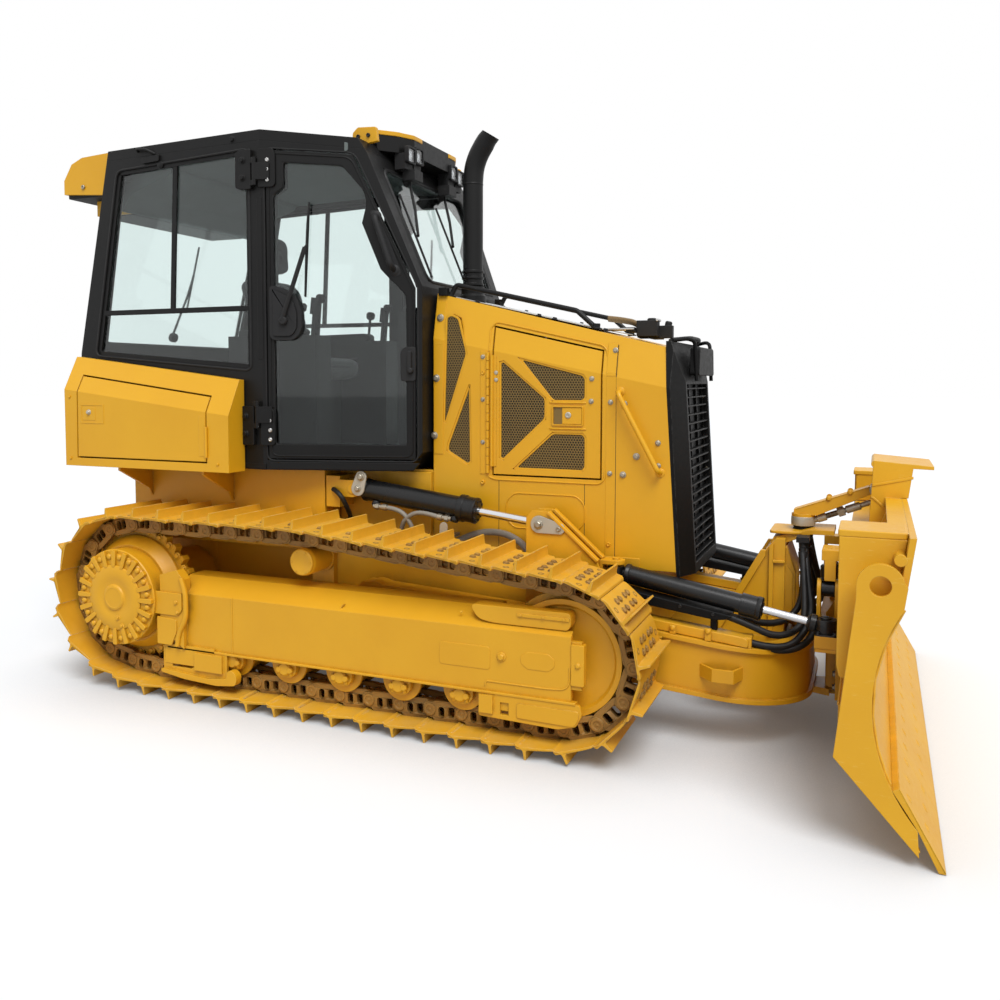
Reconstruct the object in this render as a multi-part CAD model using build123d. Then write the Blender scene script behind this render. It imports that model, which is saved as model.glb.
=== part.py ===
from build123d import *
from math import acos, atan2, ceil, cos, degrees, hypot, pi, radians, sin
import os

# A small track-type bulldozer with an enclosed cab and a power-angle-tilt blade.
# Millimetres. +X is forward, +Y is the machine's left, +Z is up, ground at Z = 0.
# Stations along X are measured from the rear end of the track's ground contact.
# The stored origin lies on the ground under the middle of the machine's length.

# ---------------------------------------------------------------- driving sizes
# Tracks
TRACK_GAUGE = 1574.0          # centre of one track to centre of the other
SHOE_WIDTH = 400.0
SHOE_PLATE = 11.0             # thickness of a shoe's plate
GROUSER_HEIGHT = 45.0
GROUSER_ROOT = 22.0
GROUSER_TIP = 9.0
CHAIN_PITCH = 155.6           # pin to pin
LINK_HALF_HEIGHT = 40.0       # pin line to the rail that the rollers run on
PIN_TO_SHOE = 49.0            # pin line to the inner face of the shoe
RAIL_INNER = 32.0             # chain centre to the inner side of a link rail
RAIL_OUTER = 66.0
SPROCKET_X = 170.0
SPROCKET_RISE = 125.37         # sprocket centre above the ground, beyond its pitch radius
SPROCKET_LINKS = 14           # links that one turn of the sprocket takes up
SPROCKET_THICKNESS = 44.0
IDLER_X = 2480.0
ROLLER_RADIUS = 80.0
ROLLER_FIRST_X = 525.0
ROLLER_SPACING = 301.0
ROLLER_COUNT = 6
CARRIER_X = 1208.0
CARRIER_LIFT = 53.7            # it holds the chain this far above the straight run
CARRIER_RADIUS = 70.0
RUN_CLEARANCE = 4.0           # roller to rail, for the chord of a link over a bend

# Track frames
GROUND_REAR_X = 330.0         # where the track lifts off towards the sprocket
TRACK_FRAME_REAR_X = 440.0
TRACK_FRAME_FRONT_X = 2535.0
TRACK_FRAME_INNER_Y = 655.0
TRACK_FRAME_OUTER_Y = 920.0
TRACK_FRAME_BOTTOM_Z = 250.0
TRACK_FRAME_SHOULDER_Z = 517.0
TRACK_FRAME_TOP_Z = 590.0
TRACK_FRAME_WALL = 26.0

# Main frame
MAIN_HALF_WIDTH = 400.0
MAIN_REAR_X = 330.0
MAIN_FRONT_X = 2700.0
MAIN_BOTTOM_Z = 335.0
MAIN_WALL = 28.0
TANK_REAR_X = -90.0           # the wide body under the rear of the cab
TANK_FRONT_X = 1130.0
TANK_HALF_WIDTH = 560.0
CAB_BOTTOM_Z = 1120.0

# Cab
CAB_WALL = 45.0
CAB_ROOF = 50.0
CAB_GLASS = 6.0
CAB_GLASS_INSET = 15.0
CAB_PILLAR_X = 885.0          # door pillar, the widest place
CAB_PILLAR_HALF_WIDTH = 722.0
CAB_REAR_HALF_WIDTH = 690.0
CAB_FRONT_HALF_WIDTH = 472.0
CAB_FRONT_X = 1640.0
CAB_ROOF_Z = 2762.0
DOOR_SPLAY = 0.45             # lean of the door's front edge, so it swings out clear

# Hood
HOOD_HALF_WIDTH = 400.0
HOOD_TOP_HALF_WIDTH = HOOD_HALF_WIDTH - 48
HOOD_REAR_X = 1655.0
HOOD_FRONT_X = 2854.0         # at the foot of its front edge
HOOD_LEAN = 0.067             # how far the front leans back for each unit of height
HOOD_BOTTOM_Z = 710.0
HOOD_WALL = 25.0

# Lockers beside the cab
LOCKER_REAR_X = -276.0
LOCKER_FRONT_X = 777.0
LOCKER_INNER_Y = 726.0
LOCKER_OUTER_Y = 850.0
LOCKER_BOTTOM_Z = 1110.0
LOCKER_WALL = 20.0

# C-frame and blade
PIVOT_X = 1400.0
PIVOT_Z = 470.0
PIVOT_RADIUS = 40.0
ARM_INNER_Y = 450.0
ARM_OUTER_Y = 560.0
ARM_BEND_X = 3050.0
ARM_BEND_RADIUS = 380.0
LIFT_Y = 505.0                # centre-plane of a lift cylinder
LIFT_REAR = (1287.0, 1027.0)
LIFT_FRONT = (2250.0, 908.0)
LIFT_BARREL_RADIUS = 53.0
LIFT_ROD_RADIUS = 20.0
SWING_X = 3360.0              # upright axis that the blade angles about
ANGLE_Y = 470.0
ANGLE_REAR = (2600.0, 710.0)
ANGLE_FRONT = (3490.0, 553.0)
ANGLE_BARREL_RADIUS = 41.0
ANGLE_ROD_RADIUS = 17.0
TILT_Z = 300.0                # fore-and-aft axis that the blade tilts about
TILT_CYLINDER_X = 3490.0
TILT_CYLINDER_Z = 680.0
TILT_BARREL_RADIUS = 38.0
TILT_BARREL_Y = -330.0
TILT_ROD_Y = 250.0
BLADE_HALF_WIDTH = 1290.0
BLADE_TOP_Z = 1065.0
BLADE_PLATE = 18.0
BLADE_EDGE_X = 3902.0
BLADE_EDGE_Z = 3.0            # the parked blade's edge just clears the ground

# Final drive, carrier bracket and drawbar
HUB_RADIUS = 236.0
HUB_FACE_Y = 992.0
CARRIER_BRACKET_Y = 700.0
DRAWBAR_X = -330.0
DRAWBAR_Z = 520.0
DRAWBAR_BORE = 24.0

# Engine doors, side panels, grille guard, exhaust and rails
# Engine door: its outline in side view, clockwise from the rear foot
ENGINE_DOOR = [(1966, 1106), (1966, 1822), (2508, 1700), (2508, 1106)]
ENGINE_HINGE_Y = HOOD_HALF_WIDTH + 7.5
# Perforated fields in the door and the panel behind it, in side view
DOOR_FIELDS = [
    [(2002, 1650), (2025, 1655), (2238, 1480), (2238, 1380), (2024, 1180), (2002, 1190)],
    [(2095, 1670), (2418, 1590), (2432, 1570), (2432, 1480), (2415, 1462), (2268, 1462)],
    [(2070, 1140), (2418, 1140), (2434, 1160), (2434, 1300), (2418, 1320), (2268, 1320)],
]
PANEL_FIELDS = [
    [(1720, 1870), (1752, 1880), (1792, 1862), (1836, 1690), (1722, 1350), (1705, 1360)],
    [(1842, 1540), (1852, 1540), (1858, 1165), (1838, 1150), (1724, 1215), (1728, 1250)],
]
FIELD_DEPTH = 9.0
GUARD_DEPTH = 66.0
GUARD_FRONT_HALF = HOOD_HALF_WIDTH - 110
GUARD_TOP_Z = 1738.0
GRILLE_TOP_Z = 1545.0
GRILLE_BOTTOM_Z = 735.0
GRILLE_HALF = GUARD_FRONT_HALF - 28
EXHAUST_X = 1776.0
EXHAUST_Y = -200.0
EXHAUST_RADIUS = 49.0
RAIL_RADIUS = 12.0

# Cab outlines, as (x, z) or (x, half width), and door hinges
CAB_PROFILE = [
    (-330, CAB_BOTTOM_Z),
    (-318, 1700),
    (-92, CAB_ROOF_Z - 12),
    (CAB_PILLAR_X, CAB_ROOF_Z),
    (1345, CAB_ROOF_Z - 50),
    (1385, 2645),
    (CAB_FRONT_X, 2010),
    (CAB_FRONT_X, 1210),
    (1560, CAB_BOTTOM_Z),
]
CAB_PLAN = [
    (-420, -CAB_REAR_HALF_WIDTH),
    (CAB_PILLAR_X, -CAB_PILLAR_HALF_WIDTH),
    (1700, -CAB_FRONT_HALF_WIDTH),
    (1700, CAB_FRONT_HALF_WIDTH),
    (CAB_PILLAR_X, CAB_PILLAR_HALF_WIDTH),
    (-420, CAB_REAR_HALF_WIDTH),
]
# Cab door and its glass, in side view
CAB_DOOR = [(905, 1168), (905, 2672), (1326, 2640), (CAB_FRONT_X - 24, 2004), (CAB_FRONT_X - 24, 1168)]
CAB_DOOR_FRONT = (2, 3, 4)    # its corners on the front edge
DOOR_GLASS = [
    (940, 1245),
    (940, 2450),
    (990, 2485),
    (990, 2606),
    (1270, 2584),
    (1372, 2462),
    (1384, 2400),
    (1362, 2310),
    (1448, 2090),
    (1566, 1965),
    (1566, 1718),
    (1540, 1695),
    (1540, 1570),
    (1566, 1550),
    (1566, 1245),
]
SIDE_WINDOW = [(-205, 1690), (-30, 2640), (815, 2672), (815, 1610)]
DOOR_HINGE_X = 868.0
DOOR_HINGE_Y = 745.0
DOOR_HINGES_Z = (1390.0, 2560.0)
DOOR_HINGE_RADIUS = 11.0

# Locker doors
LOCKER_DOOR = [(-196, 1152), (-190, 1585), (648, 1482), (648, 1152)]
LOCKER_HINGE_Y = LOCKER_OUTER_Y + 6.5

# C-frame, cylinders and swing carrier
ARM_FLANGE = 20.0
ARM_RECESS = 16.0
SWING_PIN_RADIUS = 34.0
BALL_RADIUS = 30.0
RAM_WALL = 9.0
FORK_TOP_Z = 436.0
FORK_BOTTOM_Z = 140.0
STEM_REAR_X = 3474.0
STEM_HALF_WIDTH = 60.0
YOKE_FRONT_X = 3540.0
BLADE_BLOCK_X = 3548.0
TILT_PIN_RADIUS = 46.0

# Mouldboard, beams, head guard and end plates
# Front face of the mouldboard: three points of its arc, from the bend to the foot, and its top
MOULD_BEND = (BLADE_EDGE_X - 144, 834.0)
MOULD_MIDDLE = (BLADE_EDGE_X - 230, 554.0)
MOULD_FOOT = (BLADE_EDGE_X - 86, 128.0)
MOULD_TOP = (BLADE_EDGE_X - 112, BLADE_TOP_Z)
BEAM_REAR_X = 3565.0
BEAM_TOP_Z = 900.0
BEAM_BOTTOM_Z = 775.0
BEAM_HALF_WIDTH = 1180.0
HEAD_HALF = 205.0
HEAD_TOP_Z = 1222.0
LUG_X = 3687.0
LUG_Z = 907.0
LUG_BORE = 33.0
LUG_RADIUS = 73.0

# Fits
RUNNING_FIT = 0.05            # radial, a pin that turns in its bore
SEAT_GAP = 0.3                # a piece that sits on another
MOVING_GAP = 6.0              # a piece that swings past another
DOOR_GAP = 8.0

# ---------------------------------------------------------------- worked out
PITCH_RADIUS = CHAIN_PITCH / (2 * sin(pi / SPROCKET_LINKS))
SPROCKET_Z = SPROCKET_RISE + PITCH_RADIUS
TIP_OFFSET = PIN_TO_SHOE + SHOE_PLATE + GROUSER_HEIGHT
IDLER_Z = 405.0
IDLER_PITCH_RADIUS = IDLER_Z - TIP_OFFSET
TOP_RUN = hypot(IDLER_X - SPROCKET_X, IDLER_Z - SPROCKET_Z)
TOP_RUN_SLOPE = atan2(IDLER_Z - SPROCKET_Z, IDLER_X - SPROCKET_X)
TOP_RUN_NORMAL = TOP_RUN_SLOPE + acos((PITCH_RADIUS - IDLER_PITCH_RADIUS) / TOP_RUN)
TOP_RUN_DROP = (CARRIER_X - SPROCKET_X) * cos(TOP_RUN_NORMAL) - PITCH_RADIUS
STRAIGHT_RUN_Z = SPROCKET_Z - TOP_RUN_DROP / sin(TOP_RUN_NORMAL)
CARRIER_Z = STRAIGHT_RUN_Z + CARRIER_LIFT - CARRIER_RADIUS - LINK_HALF_HEIGHT
TRACK_Y = TRACK_GAUGE / 2
MAIN_TOP_Z = HOOD_BOTTOM_Z - SEAT_GAP
POD_REAR_X = -512.0
ORIGIN_X = (POD_REAR_X + BLADE_EDGE_X) / 2


# ---------------------------------------------------------------- helpers
def box(x0, x1, y0, y1, z0, z1):
    centre = ((x0 + x1) / 2, (y0 + y1) / 2, (z0 + z1) / 2)
    return Pos(*centre) * Solid.make_box(x1 - x0, y1 - y0, z1 - z0).moved(
        Pos(-(x1 - x0) / 2, -(y1 - y0) / 2, -(z1 - z0) / 2)
    )


def prism_xz(points, y0, y1):
    """An outline of (x, z) points, drawn out along Y."""
    face = Face(Wire.make_polygon([(x, y0, z) for x, z in points], close=True))
    return Solid.extrude(face, Vector(0, y1 - y0, 0))


def prism_xy(points, z0, z1):
    """An outline of (x, y) points, drawn out along Z."""
    face = Face(Wire.make_polygon([(x, y, z0) for x, y in points], close=True))
    return Solid.extrude(face, Vector(0, 0, z1 - z0))


def prism_yz(points, x0, x1):
    """An outline of (y, z) points, drawn out along X."""
    face = Face(Wire.make_polygon([(x0, y, z) for y, z in points], close=True))
    return Solid.extrude(face, Vector(x1 - x0, 0, 0))


def ruled(first, second):
    """The solid between two outlines of 3-D points with the same count."""
    wires = [Wire.make_polygon(points, close=True) for points in (first, second)]
    return Solid.make_loft(wires, ruled=True)


def cylinder(start, end, radius):
    axis = Vector(*end) - Vector(*start)
    return Solid.make_cylinder(radius, axis.length, Plane(origin=start, z_dir=axis))


def tube(start, end, outer, inner):
    return cylinder(start, end, outer) - cylinder(start, end, inner)


def turned_y(profile, x, z):
    """A turned piece on an axis along Y, from (y, radius) points of its outline."""
    points = [(0, profile[0][0])] + [(r, y) for y, r in profile] + [(0, profile[-1][0])]
    face = Face(Wire.make_polygon([(x + r, y, z) for r, y in points], close=True))
    return Solid.revolve(face, 360, Axis((x, 0, z), (0, 1, 0)))


def inset(points, distance):
    """A closed outline moved inward by a distance, for either winding."""
    count = len(points)
    area = sum(
        points[i][0] * points[(i + 1) % count][1] - points[(i + 1) % count][0] * points[i][1]
        for i in range(count)
    )
    side = distance if area > 0 else -distance
    lines = []
    for i in range(count):
        (ax, ay), (bx, by) = points[i], points[(i + 1) % count]
        length = hypot(bx - ax, by - ay)
        ux, uy = (bx - ax) / length, (by - ay) / length
        lines.append((ax - uy * side, ay + ux * side, ux, uy))
    moved = []
    for i in range(count):
        ax, ay, ux, uy = lines[i - 1]
        bx, by, vx, vy = lines[i]
        cross = ux * vy - uy * vx
        if abs(cross) < 1e-6:
            moved.append((bx, by))
            continue
        step = ((bx - ax) * vy - (by - ay) * vx) / cross
        moved.append((ax + ux * step, ay + uy * step))
    return moved


def mirrored(shape):
    return shape.mirror(Plane.XZ)


def both(shape):
    """The piece and its mirror image, as solids of one node."""
    return Compound(children=[*shape.solids(), *mirrored(shape).solids()])


def along(start, end, distance):
    """The point at a distance from start on the line to end."""
    a, b = Vector(*start), Vector(*end)
    return tuple(a + (b - a).normalized() * distance)


def save(name, shape):
    solids = [solid.moved(Location((-ORIGIN_X, 0, 0))) for solid in shape.solids()]
    export_step(solids[0] if len(solids) == 1 else Compound(children=solids), f"parts/{name}.step")


# ---------------------------------------------------------------- tracks
def chain_path():
    """The pin line: a belt round the wheels, as (length, place) pieces in order.

    Wheels as (x, z, radius), anticlockwise seen from the machine's right side.
    """
    wheels = [
        (SPROCKET_X, SPROCKET_Z, PITCH_RADIUS),
        (GROUND_REAR_X, TIP_OFFSET + LINK_HALF_HEIGHT + ROLLER_RADIUS, ROLLER_RADIUS + LINK_HALF_HEIGHT),
        (IDLER_X, IDLER_Z, IDLER_PITCH_RADIUS),
        (CARRIER_X, CARRIER_Z, CARRIER_RADIUS + LINK_HALF_HEIGHT),
    ]
    normals = []
    for i, (ax, az, ar) in enumerate(wheels):
        bx, bz, br = wheels[(i + 1) % len(wheels)]
        run = hypot(bx - ax, bz - az)
        # The outward normal of the tangent run from this wheel to the next
        turn = atan2(bz - az, bx - ax) - pi / 2
        from_square = (ar - br) / run
        normals.append(turn + atan2(from_square, (1 - from_square**2) ** 0.5))
    pieces = []
    for i, (x, z, r) in enumerate(wheels):
        start, end = normals[i - 1], normals[i]
        while end < start:
            end += 2 * pi
        pieces.append(("arc", x, z, r, start, r * (end - start)))
        nx, nz, nr = wheels[(i + 1) % len(wheels)]
        ax, az = x + r * cos(end), z + r * sin(end)
        bx, bz = nx + nr * cos(end), nz + nr * sin(end)
        pieces.append(("line", ax, az, bx, bz, hypot(bx - ax, bz - az)))
    return pieces


def chain_pins():
    """The pins' (x, z) places, evenly spaced along the belt."""
    pieces = chain_path()
    total = sum(piece[-1] for piece in pieces)
    count = round(total / CHAIN_PITCH)
    pins = []
    for i in range(count):
        left = total * i / count
        for piece in pieces:
            if left <= piece[-1]:
                break
            left -= piece[-1]
        if piece[0] == "arc":
            _, x, z, r, start, _ = piece
            angle = start + left / r
            pins.append((x + r * cos(angle), z + r * sin(angle)))
        else:
            _, ax, az, bx, bz, length = piece
            pins.append((ax + (bx - ax) * left / length, az + (bz - az) * left / length))
    return pins


def track_outlines():
    """Outer outline with grousers, inner face of the shoes, and the rails' inner edge."""
    pins = chain_pins()
    outer, shoe_inner = [], []
    for i, (ax, az) in enumerate(pins):
        bx, bz = pins[(i + 1) % len(pins)]
        length = hypot(bx - ax, bz - az)
        ux, uz = (bx - ax) / length, (bz - az) / length
        nx, nz = uz, -ux          # outward, for an anticlockwise belt

        def place(run, out):
            return (ax + ux * run + nx * out, az + uz * run + nz * out)

        plate = PIN_TO_SHOE + SHOE_PLATE
        middle = length * 0.2
        outer += [
            place(2, plate),
            place(middle - GROUSER_ROOT / 2, plate),
            place(middle - GROUSER_TIP / 2, TIP_OFFSET),
            place(middle + GROUSER_TIP / 2, TIP_OFFSET),
            place(middle + GROUSER_ROOT / 2, plate),
            place(length - 2, plate),
        ]
        shoe_inner += [place(2, PIN_TO_SHOE), place(length - 2, PIN_TO_SHOE)]
    return outer, shoe_inner, inset(pins, LINK_HALF_HEIGHT)


def track():
    """One closed track on the left side."""
    outer, shoe_inner, rail_inner = track_outlines()
    half = SHOE_WIDTH / 2
    shoes = prism_xz(outer, TRACK_Y - half, TRACK_Y + half)
    shoes -= prism_xz(shoe_inner, TRACK_Y - half - 1, TRACK_Y + half + 1)
    chain = None
    for low, high in ((-RAIL_OUTER, -RAIL_INNER), (RAIL_INNER, RAIL_OUTER)):
        rail = prism_xz(shoe_inner, TRACK_Y + low, TRACK_Y + high)
        rail -= prism_xz(rail_inner, TRACK_Y + low - 1, TRACK_Y + high + 1)
        chain = rail if chain is None else chain + rail
    return shoes + chain


def sprocket():
    """Toothed ring with its bolting cone."""
    teeth = SPROCKET_LINKS * 2
    root, tip = PITCH_RADIUS - 42, PITCH_RADIUS - 12
    outline = []
    for i in range(teeth):
        for share, radius in ((0.0, root), (0.3, root), (0.5, tip), (0.8, tip)):
            angle = 2 * pi * (i + share) / teeth
            outline.append((SPROCKET_X + radius * cos(angle), SPROCKET_Z + radius * sin(angle)))
    low = TRACK_Y - SPROCKET_THICKNESS / 2
    high = TRACK_Y + SPROCKET_THICKNESS / 2
    ring = prism_xz(outline, low, high)
    cone = turned_y([(high, 290), (high + 18, 290), (high + 70, HUB_RADIUS + 12)], SPROCKET_X, SPROCKET_Z)
    room = HUB_RADIUS + SEAT_GAP
    bore = turned_y([(low - 1, room), (high + 71, room)], SPROCKET_X, SPROCKET_Z)
    return ring + cone - bore


def final_drive():
    """Drive housing from the main frame out to the hub's cover."""
    shaft_end = TRACK_Y - SPROCKET_THICKNESS / 2
    return turned_y(
        [
            (MAIN_HALF_WIDTH + SEAT_GAP, 165),
            (TRACK_FRAME_INNER_Y, 165),
            (TRACK_FRAME_INNER_Y + 20, 215),
            (shaft_end - 20, 215),
            (shaft_end - 20, HUB_RADIUS),
            (HUB_FACE_Y - 40, HUB_RADIUS),
            (HUB_FACE_Y - 15, HUB_RADIUS - 22),
            (HUB_FACE_Y - 15, 70),
            (HUB_FACE_Y, 60),
        ],
        SPROCKET_X,
        SPROCKET_Z,
    )


def idler():
    tread = (IDLER_PITCH_RADIUS**2 - (CHAIN_PITCH / 2) ** 2) ** 0.5 - LINK_HALF_HEIGHT - SEAT_GAP
    flange = tread + 26
    half_flange = RAIL_INNER - 4
    return turned_y(
        [
            (TRACK_FRAME_INNER_Y + TRACK_FRAME_WALL + SEAT_GAP, 38),
            (TRACK_Y - 62, 38),
            (TRACK_Y - 62, tread),
            (TRACK_Y - half_flange, tread),
            (TRACK_Y - half_flange, flange),
            (TRACK_Y + half_flange, flange),
            (TRACK_Y + half_flange, tread),
            (TRACK_Y + 62, tread),
            (TRACK_Y + 62, tread - 22),
            (TRACK_Y + 44, tread - 34),
            (TRACK_Y + 44, 60),
            (TRACK_Y + 70, 50),
            (TRACK_FRAME_OUTER_Y - TRACK_FRAME_WALL - SEAT_GAP, 38),
        ],
        IDLER_X,
        IDLER_Z,
    )


def track_rollers():
    tread = ROLLER_RADIUS - SEAT_GAP
    axle_z = TIP_OFFSET + LINK_HALF_HEIGHT + ROLLER_RADIUS
    rollers = []
    for i in range(ROLLER_COUNT):
        rollers.append(
            turned_y(
                [
                    (TRACK_FRAME_INNER_Y + TRACK_FRAME_WALL + SEAT_GAP, 30),
                    (TRACK_Y - 84, 30),
                    (TRACK_Y - 84, tread + 16),
                    (TRACK_Y - 70, tread + 16),
                    (TRACK_Y - 70, tread),
                    (TRACK_Y + 70, tread),
                    (TRACK_Y + 70, tread + 16),
                    (TRACK_Y + 84, tread + 16),
                    (TRACK_Y + 84, 30),
                    (TRACK_FRAME_OUTER_Y - TRACK_FRAME_WALL - SEAT_GAP, 30),
                ],
                ROLLER_FIRST_X + i * ROLLER_SPACING,
                axle_z,
            )
        )
    return Compound(children=rollers)


def carrier_roller():
    tread = CARRIER_RADIUS - RUN_CLEARANCE
    return turned_y(
        [
            (CARRIER_BRACKET_Y + SEAT_GAP, 30),
            (TRACK_Y - 76, 30),
            (TRACK_Y - 76, tread),
            (TRACK_Y + 72, tread),
            (TRACK_Y + 92, tread - 6),
            (TRACK_Y + 92, tread - 30),
        ],
        CARRIER_X,
        CARRIER_Z,
    )


def track_frame():
    """Long box beam over the rollers, open below and round the idler."""
    x0, x1 = TRACK_FRAME_REAR_X, TRACK_FRAME_FRONT_X
    inner, outer, wall = TRACK_FRAME_INNER_Y, TRACK_FRAME_OUTER_Y, TRACK_FRAME_WALL
    bottom, shoulder, top = TRACK_FRAME_BOTTOM_Z, TRACK_FRAME_SHOULDER_Z, TRACK_FRAME_TOP_Z
    section = [
        (inner, bottom),
        (outer, bottom),
        (outer, shoulder),
        (outer - 95, top),
        (inner + 60, top),
        (inner, shoulder),
    ]
    beam = prism_yz(section, x0, x1)
    roller_top = TIP_OFFSET + LINK_HALF_HEIGHT + 2 * ROLLER_RADIUS + 16 + MOVING_GAP
    beam -= box(x0 - 1, x1 + 1, inner + wall, outer - wall, bottom - 1, roller_top)
    idler_room = IDLER_X - IDLER_PITCH_RADIUS - 12
    beam -= box(idler_room, x1 + 1, inner + wall, outer - wall, roller_top - 1, top + 1)
    # Room for the sprocket between the walls
    start = (SPROCKET_X, inner + wall, SPROCKET_Z)
    end = (SPROCKET_X, outer - wall, SPROCKET_Z)
    beam -= cylinder(start, end, PITCH_RADIUS + MOVING_GAP)
    # Rear guard beside the final drive
    guard = [
        (TRACK_FRAME_REAR_X + 130, 590),
        (TRACK_FRAME_REAR_X + 90, 635),
        (TRACK_FRAME_REAR_X - 12, 605),
        (TRACK_FRAME_REAR_X - 12, 345),
        (TRACK_FRAME_REAR_X + 130, 250),
    ]
    beam += prism_xz(guard, outer - wall, outer + 28)
    # Chain guides below the beam's ends, outside the rollers
    beam += box(x0, x0 + 300, outer - 20, outer + 12, 165, 262)
    beam += box(x1 - 340, x1 - 10, outer - wall, outer, 172, 262)
    # Front cap of the outer wall
    beam += box(x1 - 6, x1 + 45, outer - wall, outer - 4, 300, 500)
    # Carrier roller's bracket
    beam += box(CARRIER_X - 60, CARRIER_X + 60, inner + 12, CARRIER_BRACKET_Y, shoulder, CARRIER_Z + 40)
    return beam


# ---------------------------------------------------------------- main frame
def main_frame():
    """Trough of side and belly plates, with cross beams, pivots and cylinder brackets."""
    half, wall = MAIN_HALF_WIDTH, MAIN_WALL
    frame = box(MAIN_REAR_X, MAIN_FRONT_X, -half, half, MAIN_BOTTOM_Z, MAIN_TOP_Z)
    frame -= box(
        MAIN_REAR_X + wall,
        MAIN_FRONT_X - wall,
        -half + wall,
        half - wall,
        MAIN_BOTTOM_Z + 18,
        MAIN_TOP_Z + 1,
    )
    cab_seat = CAB_BOTTOM_Z - SEAT_GAP
    for side in (-1, 1):
        inner, outer = side * (half - wall), side * half
        low, high = min(inner, outer), max(inner, outer)
        frame += box(TANK_FRONT_X + 2, HOOD_REAR_X - 2, low, high, MAIN_TOP_Z - 1, cab_seat)
        # Cross beams that carry the track frames
        near, far = sorted((side * (half - 1), side * (TRACK_FRAME_INNER_Y - SEAT_GAP)))
        for start, end in ((620, 780), (1110, 1250)):
            frame += box(start, end, near, far, 380, 500)
        # C-frame pivot: boss and pin
        root = (PIVOT_X, side * (half - 1), PIVOT_Z)
        tip_y = side * (ARM_OUTER_Y + 10)
        frame += cylinder(root, (PIVOT_X, side * (ARM_INNER_Y - 5), PIVOT_Z), 85)
        frame += cylinder(root, (PIVOT_X, tip_y, PIVOT_Z), PIVOT_RADIUS)
        frame += cylinder((PIVOT_X, tip_y - side * 5, PIVOT_Z), (PIVOT_X, tip_y + side * 8, PIVOT_Z), 62)
        # Lift cylinder bracket: block, two cheeks and the pin
        x, z = LIFT_REAR
        near, far = sorted((side * (half - 1), side * (LIFT_Y + 52)))
        frame += box(x - 150, x - 72, near, far, z - 95, z + 60)
        for cheek in (LIFT_Y - 52, LIFT_Y + 38):
            near, far = sorted((side * cheek, side * (cheek + 14)))
            frame += box(x - 73, x, near, far, z - 42, z + 42)
            frame += cylinder((x, near, z), (x, far, z), 42)
        frame += cylinder((x, side * (LIFT_Y - 40), z), (x, side * (LIFT_Y + 56), z), 25)
    return frame


def rear_body():
    """Wide tank body under the rear of the cab, the rear case and the drawbar."""
    body = box(
        TANK_REAR_X,
        TANK_FRONT_X,
        -TANK_HALF_WIDTH,
        TANK_HALF_WIDTH,
        MAIN_TOP_Z + SEAT_GAP,
        CAB_BOTTOM_Z - SEAT_GAP,
    )
    case_front = MAIN_REAR_X - SEAT_GAP
    body += box(-255, case_front, -MAIN_HALF_WIDTH, MAIN_HALF_WIDTH, MAIN_BOTTOM_Z + 20, MAIN_TOP_Z + 1)
    # Gussets under the lockers
    for side in (-1, 1):
        for x in (20, 560):
            outline = [
                (side * (TANK_HALF_WIDTH - 1), LOCKER_BOTTOM_Z - SEAT_GAP),
                (side * (LOCKER_OUTER_Y - 60), LOCKER_BOTTOM_Z - SEAT_GAP),
                (side * (LOCKER_OUTER_Y - 60), LOCKER_BOTTOM_Z - 22),
                (side * (TANK_HALF_WIDTH + 30), LOCKER_BOTTOM_Z - 130),
                (side * (TANK_HALF_WIDTH - 1), LOCKER_BOTTOM_Z - 180),
            ]
            body += prism_yz(outline, x, x + 16)
    # Drawbar: a fork with a hitch pin's bore
    for z in (DRAWBAR_Z - 75, DRAWBAR_Z + 35):
        body += box(DRAWBAR_X - 50, -254, -85, 85, z, z + 40)
    body -= cylinder((DRAWBAR_X, 0, DRAWBAR_Z - 90), (DRAWBAR_X, 0, DRAWBAR_Z + 90), DRAWBAR_BORE)
    return body


def engine_block():
    return box(1780, 2500, -260, 260, MAIN_BOTTOM_Z + 18 + SEAT_GAP, 1380)


# ---------------------------------------------------------------- hood
def hood_heights(x):
    """Heights of the side crease and of the top edge at a station."""
    share = (x - HOOD_REAR_X) / (HOOD_FRONT_X - HOOD_REAR_X)
    return 1765 - 235 * share, 1985 - 275 * share


def hood_front(z):
    return HOOD_FRONT_X - HOOD_LEAN * (z - HOOD_BOTTOM_Z)


def hood_body(thickness):
    """The hood's outer form, shrunk by a thickness on its sides and top."""
    half = HOOD_HALF_WIDTH - thickness
    top_half = HOOD_TOP_HALF_WIDTH - thickness
    extra = 1 if thickness else 0
    sections = []
    for x in (HOOD_REAR_X - extra, HOOD_FRONT_X + extra):
        crease, top = hood_heights(x)
        front = x > (HOOD_REAR_X + HOOD_FRONT_X) / 2
        points = [
            (-half, HOOD_BOTTOM_Z - extra),
            (half, HOOD_BOTTOM_Z - extra),
            (half, crease),
            (top_half, top - thickness),
            (-top_half, top - thickness),
            (-half, crease),
        ]
        sections.append([(hood_front(z) + extra if front else x, y, z) for y, z in points])
    return ruled(*sections)


def hood_shell():
    shell = hood_body(0) - hood_body(HOOD_WALL)
    return shell


def engine_door():
    """Side door on the left, bent along the hood's crease."""
    outline = inset(ENGINE_DOOR, DOOR_GAP)
    door = (hood_body(0) - hood_body(HOOD_WALL)) & prism_xz(outline, 0, 600)
    floor = hood_body(FIELD_DEPTH)
    for field in DOOR_FIELDS:
        door -= prism_xz(field, 0, 600) - floor
    # Hinge knuckle along the rear edge
    hinge_x = ENGINE_DOOR[0][0]
    leaf = box(hinge_x + 0.5, outline[0][0] + 14, HOOD_HALF_WIDTH - 6, HOOD_HALF_WIDTH + 3, 1150, 1680)
    knuckle = cylinder((hinge_x, ENGINE_HINGE_Y, 1150), (hinge_x, ENGINE_HINGE_Y, 1680), 7)
    return door + leaf + knuckle


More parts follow.
